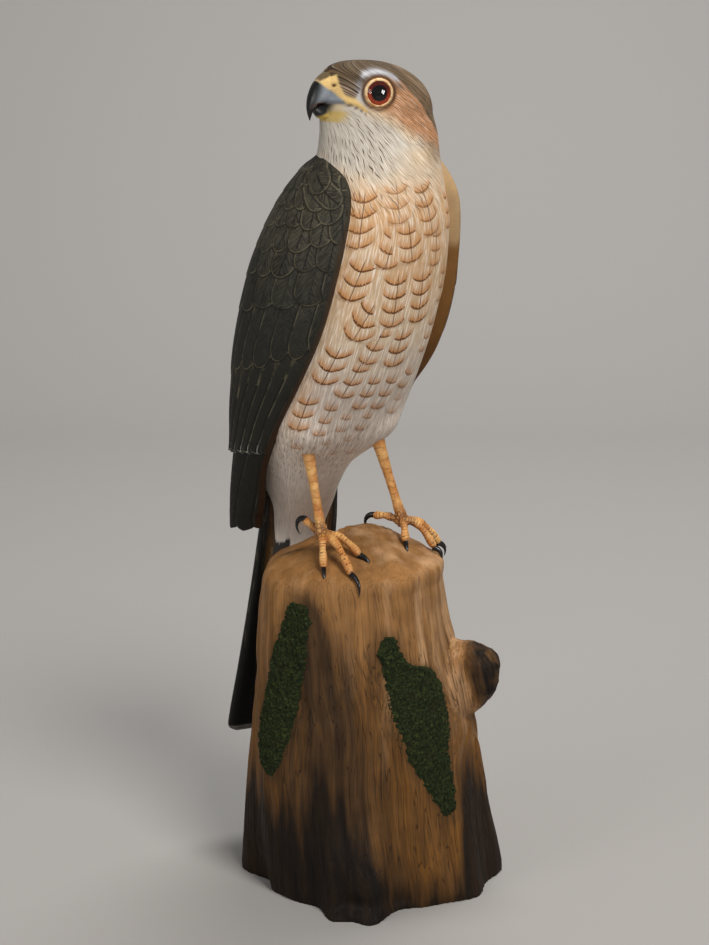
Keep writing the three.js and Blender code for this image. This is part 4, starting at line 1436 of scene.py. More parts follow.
@dataclass
class Beak:
    """Hooked beak: an upper and a lower half, each from rows of its ridge and its cutting edge."""

    face: Face
    # Distance ahead and height of the ridge, the same of the cutting edge, and half width.
    upper: Rows = (
        (15, 387.4, 12, 369.5, 8), (23.5, 385, 19, 370.6, 6.7), (29.2, 380.6, 24.6, 371, 5.0),
        (31.9, 375.5, 28.2, 370.9, 3.8), (32.9, 371, 30.3, 369.2, 2.5), (32.8, 367.6, 31.1, 366.6, 1.3),
        (32, 364.6, 31.7, 364.4, 0.3),
    )
    # The same for the lower half, from its mouth line to its underside.
    lower: Rows = (
        (13, 371, 12, 359.5, 7.4), (23.4, 371.6, 23.2, 363.6, 5.4), (27.4, 371.4, 27.6, 365.1, 3.7),
        (29.9, 370.6, 29.6, 366.9, 1.8),
    )
    rings: int = 64
    around: int = 44
    square: float = 0.7

    def half(self, rows: Rows) -> Array:
        """Rings of one half, from its root to its tip."""
        keyed = Curve([(k, *row) for k, row in enumerate(rows)])
        row = keyed.at(np.linspace(0, len(rows) - 1, self.rings))
        angle = all_round(self.around)
        share = (1 + np.sin(angle)) / 2
        top, top_z, edge, edge_z, half = (row[:, k : k + 1] for k in range(5))
        reach, z = edge + (top - edge) * share, edge_z + (top_z - edge_z) * share
        round_side = np.sign(np.cos(angle)) * np.abs(np.cos(angle)) ** self.square
        aside = round_side * half * (1 - 0.1 * np.sin(angle))
        return HEAD + reach[..., None] * RIGHT + z[..., None] * UP + aside[..., None] * FORWARD

    def build(self, maker: MeshMaker, slot: int) -> None:
        """Add both halves."""
        points = self.half(self.upper)
        off = points - HEAD
        ahead, side, z = off @ RIGHT, off @ FORWARD, points[..., 2]
        cere = fall(-1.2, 0.2, ahead - self.face.cere_line(z))
        points = points + (np.sign(side) * 0.3 * cere * (np.abs(side) > 1.2))[..., None] * FORWARD
        for half, paint in ((points, Paint.CERE), (self.half(self.lower), Paint.CHIN)):
            colour, _ = self.face.lay(paint.over(half.shape[:-1]), half)
            maker.tube(half, {"paint": colour}, slot)


@dataclass(frozen=True)
class Layer:
    """One layer of a folded wing."""

    top: float
    tip_front: float
    tip_rear: float
    sink: float
    thick: float
    inset: float


@dataclass(frozen=True)
class FeatherRow:
    """One row of feathers across a wing or the tail."""

    front: float
    rear: float
    count: int
    length: float
    tip: float
    stagger: float = 0.0
    pale: float = 1.0
    square: float = 2.2
    shaft: float = 1.0


# Height, x and y of the middle, half width and half thickness of the tail.
TAIL_ROWS: Rows = (
    (186, -33.5, 30, 19, 3.6), (165, -35.3, 34.5, 20.3, 3.2), (130, -39.5, 39.2, 21.6, 2.7),
    (95, -44.7, 43.6, 22.4, 2.4), (66, -49.6, 47.2, 22.8, 2.1), (60, -50.7, 47.9, 21.8, 1.8),
    (57.7, -51.1, 48.2, 18, 1.3),
)


@dataclass
class Wing:
    """A folded wing: a shell of coverts and secondaries over a shell of primaries."""

    side: Side
    edges: Rows
    form: HawkForm
    # Height, reach to the side of the right and of the left wing, to the front and to the back.
    cloak: Rows = (
        (140, 35, 25, 15, 11), (165, 36.5, 27, 18, 13), (190, 38.3, 31, 24, 17),
        (215, 39.5, 35.5, 32, 25), (239, 43, 40, 38, 32), (261, 47, 46, 42, 36.5),
        (284, 48.3, 46.6, 43, 39), (306, 47.3, 43.5, 41.5, 39), (328, 41.5, 38.8, 36, 36.5),
        (341, 34.2, 32.5, 30, 32), (349, 26.8, 28.5, 26, 28),
    )
    coverts: Layer = Layer(349, 214, 204, 0, 8.5, 0)
    primaries: Layer = Layer(236, 171, 158, 2.2, 5, 1)
    covert_rows: Sequence[FeatherRow] = (
        FeatherRow(214, 204, 18, 60, 4.5, 0.1, 0.9, 2.3, 0.15),
        FeatherRow(268, 226, 14, 56, 10, 0.2, 1.0, 2.1, 0.2),
        FeatherRow(290, 272, 10, 26, 7.5, 0.0, 0.8, 2.1, 0.6),
        FeatherRow(304, 289, 10, 24, 7.5, 0.5, 0.95, 2.1, 1.0),
        FeatherRow(314, 303, 10, 22, 7.5, 0.1, 1.0, 2.1, 1.0),
        FeatherRow(323, 314, 9, 20, 7, 0.6, 1.0, 2.1, 1.0),
        FeatherRow(331, 324, 8, 18, 6.5, 0.1, 0.9, 2.1, 1.0),
        FeatherRow(338, 333, 6, 16, 6, 0.5, 0.7, 2.1, 1.0),
        FeatherRow(344, 341, 5, 14, 5, 0.0, 0.5, 2.1, 0.8),
    )
    primary_rows: Sequence[FeatherRow] = (FeatherRow(171, 158, 8, 90, 6, 0.0, 0.3, 1.9, 0.3),)
    step: float = 0.72
    lining: int = 36
    over_body: float = 0.8

    def __post_init__(self) -> None:
        """Make the wing's curves."""
        self.outer, self.lines, self.tail = Curve(self.cloak), Curve(self.edges), Curve(TAIL_ROWS)

    def angle(self, z: Array, share: Array, inset: float) -> Array:
        """Angle from the hawk's side towards its breast, at a share of the way from front to rear edge."""
        line = self.lines.at(z)
        return (line[..., 0] - inset + (line[..., 1] - line[..., 0] + inset) * share) * DEG

    def reach(self, z: Array, angle: Array) -> Array:
        """Reach of the wing's outer face."""
        row = self.outer.at(z)
        side = row[..., 0] if self.side is Side.RIGHT else row[..., 1]
        return oblong(angle, (side, side, row[..., 2], row[..., 3]), (2.1, 2.1))

    def place(self, z: Array, angle: Array, reach: Array) -> Array:
        """Points at heights, angles and reaches."""
        body, tail = self.form.curve.at(z), self.tail.at(z)
        low = (z < 178)[..., None]
        middle = np.where(low, tail[..., :2], body[..., :2])
        turned = angle if self.side is Side.RIGHT else math.pi - angle
        return round_hawk(middle[..., 0], middle[..., 1], z, turned, reach)

    def row_feathers(
        self, row: FeatherRow, layer: Layer, random: np.random.Generator
    ) -> list[tuple[float, Feather]]:
        """Feathers of one row with their shares across the wing, from the rear to the front."""
        made = []
        for k in range(row.count, -1, -1):
            share = (k + row.stagger - 0.2) / row.count
            loose = random.uniform(-1, 1) * (1.4 if row.tip > 5 else 0.5)
            tip = row.front + (row.rear - row.front) * min(max(share, 0), 1) + loose
            low, high = np.array(tip + row.tip), np.array(tip + row.tip + 10)
            here, above = self.angle(low, share, layer.inset), self.angle(high, share, layer.inset)
            out = float(self.reach(low, here))
            wide = out * abs(float(self.angle(low, 0.0, layer.inset) - self.angle(low, 1.0, layer.inset)))
            feather = Feather(
                angle=float(here),
                z=tip,
                lean=math.atan2(out * float(above - here), 10.0),
                length=row.length,
                half=wide / row.count * random.uniform(0.58, 0.66),
                tip=row.tip,
                tone=random.uniform(0, 1),
                square=row.square,
                strength=row.shaft,
            )
            made.append((share, feather))
        return made

    def shell(self, maker: MeshMaker, layer: Layer, rows: Sequence[FeatherRow]) -> None:
        """Add one layer's shell, closed at its tips."""
        random = np.random.default_rng(7 if self.side is Side.RIGHT else 9)
        laid = [(row, self.row_feathers(row, layer, random)) for row in rows]
        high = int((layer.top - layer.tip_rear) / self.step)
        wide = int(112 / self.step * (1.0 if layer.sink == 0 else 0.8))
        share, down = np.linspace(0, 1, wide), np.linspace(0, 1, high)
        ends = np.full(wide, 1e3)
        for spot, feather in laid[0][1]:
            pitch = feather.half / 0.62 * rows[0].count
            off = np.minimum(np.abs(share - spot) * pitch / feather.half, 1)
            curve = 1 - (1 - off**feather.square) ** (1 / feather.square)
            ends = np.minimum(ends, np.where(off < 1, feather.z + feather.tip * curve, 1e3))
        ends = np.minimum(ends + 0.15, layer.tip_front + (layer.tip_rear - layer.tip_front) * share + 4)
        z = layer.top + (ends[None, :] - layer.top) * down[:, None]
        across = np.broadcast_to(share, z.shape)
        angle = self.angle(z, across, layer.inset)
        reach = self.reach(z, angle)
        coat, pale = Coat(angle, z, reach, thick=0.55), np.zeros(z.shape)
        for row, feathers in laid:
            for _, feather in feathers:
                before = coat.edge.copy()
                coat.lay(feather)
                pale[coat.edge != before] = row.pale
        front = reach * np.abs(angle - self.angle(z, np.zeros(z.shape), layer.inset))
        fillet = 1.8 - np.sqrt(np.clip(1.8**2 - np.clip(1.8 - front, 0, None) ** 2, 0, None))
        tuck = 2.2 * np.clip((across - REAR_TUCK) * 7, 0, None) ** 1.4
        tuck = tuck + 0.6 * np.clip(1 - down * 14, 0, None)[:, None]
        lift = coat.relief() * (smooth(0, 2.5, front) if self.side is Side.RIGHT else smooth(7, 10, front))
        if self.side is Side.LEFT and layer.sink == 0:
            clear = self.clear_body(z, angle, reach - fillet)
            lift = lift + clear * smooth(0, 2, front) * fall(0.8, REAR_TUCK, across)
        outer = self.place(z, angle, reach - layer.sink - fillet - tuck + lift)
        start = maker.add(outer, self.values(coat, pale, outer, z, front, layer))
        maker.sheet(start, high, wide)
        back = self.add_lining(maker, layer, share, down, ends)
        line = np.arange(high)
        for column, other in ((0, 0), (wide - 1, self.lining - 1)):
            maker.strip(start + line * wide + column, back + line * self.lining + other, (down, down), slot=1)
        keys = (share, np.linspace(0, 1, self.lining))
        for row in (0, high - 1):
            outer_line, inner_line = np.arange(wide) + row * wide, np.arange(self.lining) + row * self.lining
            maker.strip(start + outer_line, back + inner_line, keys)

    def clear_body(self, z: Array, angle: Array, reach: Array) -> Array:
        """How far the wing is lifted beside the belly, so that it lies over the body there."""
        body, _ = self.form.reach(z, math.pi - angle)
        beside = smooth(214, 220, z) * fall(246, 254, z)
        return np.clip(body + self.over_body - reach, 0, 2) * beside

    def add_lining(self, maker: MeshMaker, layer: Layer, share: Array, down: Array, ends: Array) -> int:
        """Add a layer's inner face, and return the number of its first point."""
        across = np.linspace(0, 1, self.lining)
        z = layer.top + (np.interp(across, share, ends)[None, :] - layer.top) * down[:, None]
        wide = np.broadcast_to(across, z.shape)
        angle = self.angle(z, wide, layer.inset)
        thin = (0.62 + 0.38 * smooth(219, 225, z)) * (1 - 0.45 * smooth(1 - 1 / 14, 1, down))[:, None]
        off = np.maximum(layer.thick * thin, 2.2 * np.clip((wide - REAR_TUCK) * 7, 0, None) + 1)
        points = self.place(z, angle, self.reach(z, angle) - layer.sink - off)
        plain = dict.fromkeys(("along", "tone", "pale", "tip", "shaft"), 0.0)
        plain |= {"edge": FAR, "across": 3.0, "burn": 0.12}
        values = {name: np.full(z.shape, value) for name, value in plain.items()}
        paint = Paint.WING_BROWN if self.side is Side.LEFT else Paint.SLATE_DARK
        values["paint"] = self.rim_paint(paint.over(z.shape), points, z)
        return maker.add(points, values)

    def rim_paint(self, base: Array, points: Array, z: Array, front: Array | float = 0.0) -> Array:
        """Brown of a wing's front rim: tan at the shoulder, darker towards its tip."""
        if self.side is Side.RIGHT:
            return base
        high = smooth(306, 314, z - 1.9 * front + 6 * cloud(points / 4, 3, 3))
        worn = np.clip(0.2 + 1.1 * cloud(points / 3, 33, 3), 0, 1)
        return layered(
            base,
            (Paint.WING_TAN, high),
            (Paint.NAPE, 0.6 * high * worn),
            (Paint.UMBER, 0.35 * (1 - high) * worn),
            (Paint.UMBER, 0.7 * fall(225, 285, z)),
            (Paint.SLATE_DARK, 0.9 * fall(204, 228, z)),
        )

    def values(
        self, coat: Coat, pale: Array, points: Array, z: Array, front: Array, layer: Layer
    ) -> dict[str, Array]:
        """Paint and feather values of a wing's outer face."""
        patch = cloud(points / 9, 21)
        base = layered(
            Paint.SLATE.over(z.shape),
            (Paint.FEATHER_EDGE, np.clip(0.3 + 0.6 * patch, 0, 1) * smooth(270, 320, z) * 0.5),
            (Paint.SLATE_DARK, 0.75 * fall(230, 325, z)),
            (Paint.SLATE_DARK, 0.85 * (layer.sink > 0) + 0 * z),
        )
        if self.side is Side.LEFT:
            edge = 7.2 - 0.9 * smooth(292, 325, z)
            front_band_and_shade = fall(-1.8, 0.6, front + 0.6 * patch - edge) * smooth(204, 228, z)
            front_brown_and_shade = self.rim_paint(Paint.WING_BROWN.over(z.shape), points, z, front)
        else:
            # On the right wing, a dark brown strip along the front edge where it meets the breast: painted
            # shadow.
            front_band_and_shade = 0.6 * fall(0.4, 1.8, front) * fall(312, 330, z)
            front_brown_and_shade = Paint.RIM.over(z.shape)
        base = blend_paint(base, front_brown_and_shade, front_band_and_shade)
        rear = smooth(2, 5, front) * (z > 200) * (coat.along < 5)
        return coat.values(front_band_and_shade) | {
            "paint": base,
            "pale": pale * (1 - front_band_and_shade),
            "tip": 0.75 * rear * fall(218, 222, z) * fall(34, 42, front),
            "burn": (0.26 + 0.46 * smooth(245, 290, z)) * (1 - 0.9 * front_band_and_shade),
        }

    def build(self, name: str) -> bpy.types.Object:
        """Make the wing."""
        maker = MeshMaker()
        self.shell(maker, self.coverts, self.covert_rows)
        self.shell(maker, self.primaries, self.primary_rows)
        piece = maker.build(name)
        QuillPaint("wing paint", Gloss(0.6, 0.08, specular=0.16), 0.75, 0.45).dress(piece)
        QuillPaint("wing lining paint", Gloss(0.65, 0.08, specular=0.2), 0.5, 0.3).dress(piece)
        return piece


@dataclass
class Tail:
    """Long flat tail with square corners."""

    across: int = 150
    step: float = 0.8
    square: float = 3.2
    quill: float = 14.0

    def __post_init__(self) -> None:
        """Make the tail's curve."""
        self.curve = Curve(TAIL_ROWS)

    def face(self, share: Array, z: Array, back: int) -> tuple[Array, Array]:
        """Points of one face from side to side, and their distance from the tail's middle line."""
        row = self.curve.at(z)
        turn = share * math.pi * back
        reach = oblong(turn, (row[..., 2], row[..., 2], row[..., 3], row[..., 3]), (self.square, self.square))
        return round_hawk(row[..., 0], row[..., 1], z, turn, reach), reach * np.cos(turn)

    def feathers(self, coat: Coat, back: int) -> None:
        """Lay six pairs of feathers."""
        order = range(5, -1, -1) if back == -1 else range(6)
        random = np.random.default_rng(3 + back)
        for k in order:
            for side in (1, -1):
                z, lean = TAIL_ROWS[-1][0] + 0.6 + 0.35 * k, -side * 0.012 * (k + 0.5)
                size = {"length": 140, "half": 5.4, "tip": 3.0, "square": 2.8, "strength": 0.5}
                coat.lay(Feather(side * (2.2 + 3.7 * k), z, lean, tone=random.uniform(0, 1), **size))

    def values(self, coat: Coat, wide: Array, z: Array, back: int) -> dict[str, Array]:
        """Paint and feather values of one face."""
        bands = 0.5 + 0.5 * np.cos((z - 60) / 29 * 2 * math.pi)
        high, off = smooth(118, 150, z) * (back == 1), np.abs(wide)
        base = layered(
            Paint.TAIL.over(z.shape),
            (Paint.SLATE, (back == -1) * 0.7 * smooth(0.35, 0.75, bands)),
            (Paint.WING_BROWN, 0.7 * high * smooth(10, 12, off) * fall(16, 17.5, off)),
            (Paint.WING_TAN, high * bell(off - self.quill, 0.5)),
            (Paint.TIP_WHITE, 0.6 * fall(59.5, 61.5, z)),
        )
        tip = 0.3 * fall(60, 64, z)
        return coat.values(0.0) | {"paint": base, "pale": 0.35 + 0 * z, "tip": tip, "burn": 0.45 + 0 * z}

    def build(self) -> bpy.types.Object:
        """Make the tail with its feathers on both faces."""
        maker = MeshMaker()
        low, high = TAIL_ROWS[-1][0], TAIL_ROWS[0][0]
        count = int((high - low) / self.step)
        even = np.linspace(0, 1, self.across)
        place = 0.5 * even + 0.25 * (1 - np.cos(even * math.pi))
        z, share = np.meshgrid(np.linspace(high, low, count), place, indexing="ij")
        lines = []
        for back in (1, -1):
            points, wide = self.face(share, z, back)
            coat = Coat(wide, z, np.ones(z.shape), thick=0.35)
            self.feathers(coat, back)
            push = coat.relief() * smooth(0, 1.2, 20 - np.abs(share - 0.5) * 40)
            points = points + (FORWARD * back) * push[..., None]
            start = maker.add(points, self.values(coat, wide, z, back))
            maker.sheet(start, count, self.across)
            lines.append(start + np.arange(count * self.across).reshape(count, self.across))
        for row in (0, -1):
            maker.strip(lines[0][row], lines[1][row], (even, even))
        piece = maker.build("hawk_tail")
        with opened(piece.data) as work:
            bmesh.ops.remove_doubles(work, verts=work.verts, dist=0.02 * MM)
        QuillPaint("tail paint", Gloss(0.5, 0.08, specular=0.22), 0.6, 0.3).dress(piece)
        return piece


@dataclass
class GlassEye:
    """Domed glass eye with its iris and pupil behind the glass."""

    form: EyeForm
    name: str
    iris_plane: float = 1.5
    backing: float = 0.97

    def dome(self, scale: float, flat: float) -> tuple[Array, Array, Array]:
        """Rings of a dome cut flat in front, with their distances from its middle and their turns."""
        turn, around = np.meshgrid(np.linspace(0.02, math.pi - 0.02, 65), all_round(64), indexing="ij")
        radius = self.form.radius * scale * np.sin(turn)
        out = np.minimum(self.form.bulge * scale * np.cos(turn), flat)
        return self.form.world(radius * np.cos(around), radius * np.sin(around), out), radius, around

    def build(self) -> list[bpy.types.Object]:
        """Make the glass and what is sealed behind it."""
        maker = MeshMaker()
        points, _, _ = self.dome(1.0, self.form.bulge)
        maker.tube(points)
        lens = maker.build(self.name)
        lens.data.materials.append(glass())
        maker = MeshMaker()
        points, radius, around = self.dome(self.backing, self.iris_plane)
        spoke = np.stack([np.cos(around) * 14, np.sin(around) * 14, radius * 0.5], -1)
        maker.tube(points, {"out": radius, "spoke": spoke, "up": np.sin(around)})
        iris = maker.build(self.name + "_iris")
        IrisPaint("iris paint", Gloss(0.5, 0.05, specular=0.04), 0.02, 0.1).dress(iris)
        return [lens, iris]


@dataclass(frozen=True)
class Toe:
    """One toe and its claw: its turn, reach and drop, and the claw's length, first rise and last droop."""

    turn: float
    reach: float
    drop: float
    claw: float
    rise: float
    hook: float


def bent_tube(line: Array, half: Array, around: int, squash: float = 1.0) -> Array:
    """Rings of a round tube along a line.

    Args:
        line: points of its middle.
        half: half width at each.
        around: points in a ring.
        squash: share of the width that it has sideways.

    Returns:
        The rings' points.
    """
    along = np.gradient(line, axis=0)
    along /= np.linalg.norm(along, axis=1, keepdims=True)
    helper = np.where(np.abs(along[:, 2:3]) > 0.95, FORWARD, UP)
    across = np.cross(helper, along)
    across /= np.linalg.norm(across, axis=1, keepdims=True)
    other = np.cross(along, across)
    turn = all_round(around)
    side = np.cos(turn)[None, :, None] * across[:, None, :] * half[:, None, None] * squash
    return line[:, None, :] + side + np.sin(turn)[None, :, None] * other[:, None, :] * half[:, None, None]


@dataclass
class Leg:
    """One leg: a bare shank and four toes with claws."""

    ankle: tuple[float, float, float]
    top: tuple[float, float, float]
    toes: Sequence[Toe]

    def shank(self) -> tuple[Array, Array]:
        """Middle line and half widths of the shank."""
        low, high = np.array(self.ankle), np.array(self.top)
        way = (high - low) / np.linalg.norm(high - low)
        share = np.linspace(0, 1, 60)[:, None]
        line = low + (high + way * 6 - low) * share
        widths = ((0, 0.1, 0.25, 0.5, 0.8, 0.92, 1.0), (3.1, 2.55, 2.1, 2.15, 2.8, 3.3, 3.4))
        return line, np.interp(share[:, 0], *widths)

    def toe(self, toe: Toe) -> tuple[Array, Array, Array, Array]:
        """Middle lines and half widths of one toe and its claw."""
        angle = toe.turn * DEG
        way = FORWARD * math.cos(angle) - RIGHT * math.sin(angle)
        share = np.linspace(0, 1, 40)
        root = np.array(self.ankle) - UP * 1.5
        lift = 1.8 * np.sin(math.pi * share) - toe.drop * share * share - 0.3 * share
        line = root + way * (toe.reach * share)[:, None] + UP * lift[:, None]
        half = np.interp(share, [0, 0.3, 0.6, 0.9, 1], [2.55, 1.95, 1.72, 1.78, 1.6])
        half = half * (1 + 0.11 * np.cos(2 * math.pi * (share * 2.4 - 0.1)))
        claw_share = np.linspace(0, 1, 30)
        bend = (-toe.rise + (toe.hook + toe.rise) * (claw_share + 0.125)) * DEG
        run, sag = (np.cumsum(part) * toe.claw / len(claw_share) for part in (np.cos(bend), np.sin(bend)))
        claw = line[-1] - way * 1.2 + way * run[:, None] - UP * sag[:, None]
        return line, half, claw, 1.5 * (1 - 0.93 * claw_share**1.4)

    def build(self, name: str) -> bpy.types.Object:
        """Make the leg."""
        skin, claws = MeshMaker(), MeshMaker()
        line, half = self.shank()
        skin.tube(bent_tube(line, half, 20))
        middles = [(line, 3.4, 0.45)]
        for toe in self.toes:
            line, half, claw, width = self.toe(toe)
            rings = bent_tube(line, half, 18)
            rings[-1] = line[-1] + (rings[-1] - line[-1]) * 0.7
            skin.tube(rings)
            middles.append((line, 1.35, 1.0))
            claws.tube(bent_tube(claw, width, 16, 0.8))
        piece = skin.build(name)
        knit(piece, 0.36, 4)
        self.scales(piece.data, middles)
        tips = claws.build(name + "_claws")
        tips.data.polygons.foreach_set("material_index", np.ones(len(tips.data.polygons), np.int32))
        with opened(piece.data) as work:
            work.from_mesh(tips.data)
        bpy.data.objects.remove(tips)
        make_smooth(piece.data)
        LegPaint("leg paint", Gloss(0.5, 0.08, specular=0.35), 0.7, 0.3).dress(piece)
        PlainPaint("claw paint", Gloss(0.3, 0.05, coat=0.15, specular=0.4), 0.1, 0.1).dress(piece)
        return piece

    def scales(self, mesh: bpy.types.Mesh, middles: Sequence[tuple[Array, float, float]]) -> None:
        """Carve scutes into the skin, and keep where each point lies along its toe."""
        places, normals = mesh_points(mesh)
        best = np.full(len(places), 1e9)
        along, size, ring = np.zeros(len(places)), np.ones(len(places)), np.zeros(len(places))
        for line, scute, strength in middles:
            run = np.concatenate([[0], np.cumsum(np.linalg.norm(np.diff(line, axis=0), axis=1))])
            off = np.linalg.norm(places[:, None, :] - line[None, :, :], axis=2)
            near = off.argmin(1)
            least = off[np.arange(len(places)), near]
            closer = least < best
            best[closer], along[closer] = least[closer], run[near][closer]
            size[closer], ring[closer] = scute, strength
        root = np.linalg.norm(places - (np.array(self.ankle) - UP * 0.5), axis=1)
        fold = fall(4.0, 8.5, root)
        ring = ring * smooth(3.0, 6.0, root) * smooth(-0.6, 0.2, normals[:, 2] * 0.6 + normals @ FORWARD)
        wave = along / size + 0.5 * cloud(places / 2.2, 9, 2)
        groove = bell(np.abs(wave % 1 - 0.5) - 0.5, 0.13)
        wrinkle = cloud(places / 1.3, 4, 2)
        crease = bell(cloud(places / [2.2, 2.2, 0.9], 6, 2), 0.12)
        height = 0.12 * wrinkle - 0.15 * groove * ring - 0.3 * crease * (fold + 0.25)
        move_points(mesh, places + normals * height[:, None])
        for name, value in (("along", along), ("scute", size), ("ring", ring), ("fold", fold)):
            set_values(mesh, name, value[:, None])


@dataclass
class Stump:
    """Carved stump with root flares, flutes and a branch stub."""

    moss: Sequence[Rows]
    shoulder: float = 152
    top: float = 176
    drift: float = 6
    # Height, x and y of the middle, and half widths along x and y.
    rows: Rows = (
        (0, 0, 1, 56.5, 43), (20, -1.6, 1, 56, 43), (48, -3.4, 1, 54.3, 43), (78, -4.8, 0.5, 51.8, 42.5),
        (94, -5.8, 0, 49.5, 42), (110, -7.3, -0.5, 46.8, 41.5), (126, -8.6, -1, 44.6, 41),
        (152, -9.8, -1.5, 41.6, 39.5),
    )
    # Share of the way over the top, and the shares of reach and of rise there.
    over: Rows = (
        (0, 1, 0), (0.15, 0.992, 0.17), (0.3, 0.955, 0.32), (0.5, 0.8, 0.47), (0.7, 0.55, 0.68),
        (0.85, 0.3, 0.88), (1, 0.04, 1),
    )
    # Direction and spread of each root flare in degrees, its size, and the height where it fades.
    roots: Rows = (
        (-109, 9, 12, 30), (-91, 11, 13, 30), (173, 12, 7, 45), (-168, 9, -5, 40), (-148, 9, -2.5, 60),
        (128, 18, 5, 60), (82, 20, 7, 55), (40, 14, 4, 70), (4, 13, 7, 45), (-27, 12, 5, 40),
    )
    # Number of flutes round the stump, their depth, their turn in degrees and their lean.
    flutes: Rows = ((7, 0.8, 20, 25), (12, 0.4, 75, -15))
    knot_root: tuple[float, float, float] = (22, -3, 97)
    knot_out: tuple[float, float, float] = (1, -0.12, 0.28)
    knot_length: float = 38
    # Share of the branch stub's length, and its half width and half height there.
    knot_rows: Rows = (
        (0, 15, 22), (0.3, 14, 21.5), (0.55, 12.5, 19), (0.75, 11, 15), (0.9, 8.5, 10.5), (1, 5, 5.5),
    )
    # Height, and direction and spread in degrees of the dark smear down the front.
    smear_rows: Rows = (
        (30, -108, 38), (58, -109, 33), (83, -110, 30), (112, -110, 21), (135, -113, 13), (150, -118, 7),
        (158, -120, 4),
    )
    # Direction in degrees, and height that the scorching reaches.
    burn_rows: Rows = (
        (-180, 50), (-165, 52), (-146, 44), (-132, 38), (-120, 64), (-108, 62), (-98, 38), (-84, 32),
        (-70, 22), (-58, 6), (-47, 8), (-38, 16), (-27, 52), (-16, 64), (0, 48), (60, 32), (120, 40),
        (180, 50),
    )

    def __post_init__(self) -> None:
        """Make the stump's curves."""
        self.side, self.cap = Curve(self.rows), Curve(self.over)
        self.knot_way = np.array(self.knot_out) / np.linalg.norm(self.knot_out)

    def reach(self, z: Array, angle: Array) -> Array:
        """Reach of the side below the top."""
        row = self.side.at(z)
        out = 1 / np.hypot(np.cos(angle) / row[..., 2], np.sin(angle) / row[..., 3])
        for direction, spread, flare, fade in self.roots:
            turn = turn_between(direction * DEG, angle) / (spread * DEG)
            out = out + flare * np.exp(-turn * turn - z / fade)
        for number, depth, phase, lean in self.flutes:
            out = out + depth * np.sin(number * angle + (phase + lean * z / 40) * DEG)
        return out

    def place(self, rise: Array, angle: Array, grown: Array | float = 0.0) -> Array:
        """Points of the stump: rise is 0 to 1 up the side, then 1 to 2 over the top."""
        low = np.minimum(rise, 1) * self.shoulder
        middle, top = self.side.at(low), self.cap.at(np.maximum(rise - 1, 0))
        reach = (self.reach(low, angle) + grown) * top[..., 0]
        z = low + (self.top - self.shoulder + grown) * top[..., 1]
        x = middle[..., 0] + self.drift * top[..., 1] + np.cos(angle) * reach
        return np.stack([x, middle[..., 1] + np.sin(angle) * reach, z], -1)

    def knot(self) -> Array:
        """Rings of the branch stub."""
        out = self.knot_way
        across = np.cross(UP, out)
        across /= np.linalg.norm(across)
        rise = np.cross(out, across)
        share = np.linspace(0, 1, 50)
        half = Curve(self.knot_rows).at(share)
        turn = all_round(64)
        side = np.cos(turn)[None, :, None] * half[:, 0][:, None, None] * across
        lift = np.sin(turn)[None, :, None] * half[:, 1][:, None, None] * rise
        return np.array(self.knot_root) + (share * self.knot_length)[:, None, None] * out + side + lift

    def build(self) -> bpy.types.Object:
        """Make the stump."""
        maker = MeshMaker()
        rises = np.concatenate([np.linspace(0, 1, 150), np.linspace(1.005, 1.99, 90)])
        rise, angle = np.meshgrid(rises, np.linspace(-math.pi, math.pi, 361)[:-1], indexing="ij")
        maker.tube(self.place(rise, angle))
        maker.tube(self.knot())
        piece = maker.build("stump_skin")
        knit(piece, 0.95, 3)
        self.weather(piece.data)
        StumpStain("stump stain", Gloss(0.66, 0.14, specular=0.14), 0.6, 0.8).dress(piece)
        return piece

    def moss_halo(self, places: Array, angle: Array) -> Array:
        """Nearness to the edge of the moss, from the outside."""
        degrees, z = np.degrees(angle), places[:, 2]
        total = np.zeros(len(z))
        for rows in self.moss:
            line = Curve(rows).at(z)
            low, high = rows[0][0], rows[-1][0]
            aside = np.maximum(line[:, 0] - degrees, degrees - line[:, 1]) * 0.8
            past = np.clip(low - z, 0, None) + np.clip(z - high, 0, None)
            off = np.hypot(np.clip(aside, 0, None), past)
            total = np.maximum(total, bell(off, 4.5))
        return total

    def knot_face(self, places: Array) -> tuple[Array, Array]:
        """Share of the branch stub's cut face at points, and their distance from its middle."""
        off = places - np.array(self.knot_root)
        stub = off @ self.knot_way
        beside = np.linalg.norm(off - stub[:, None] * self.knot_way, axis=1)
        return smooth(25, 31, stub) * fall(19, 23, beside), beside

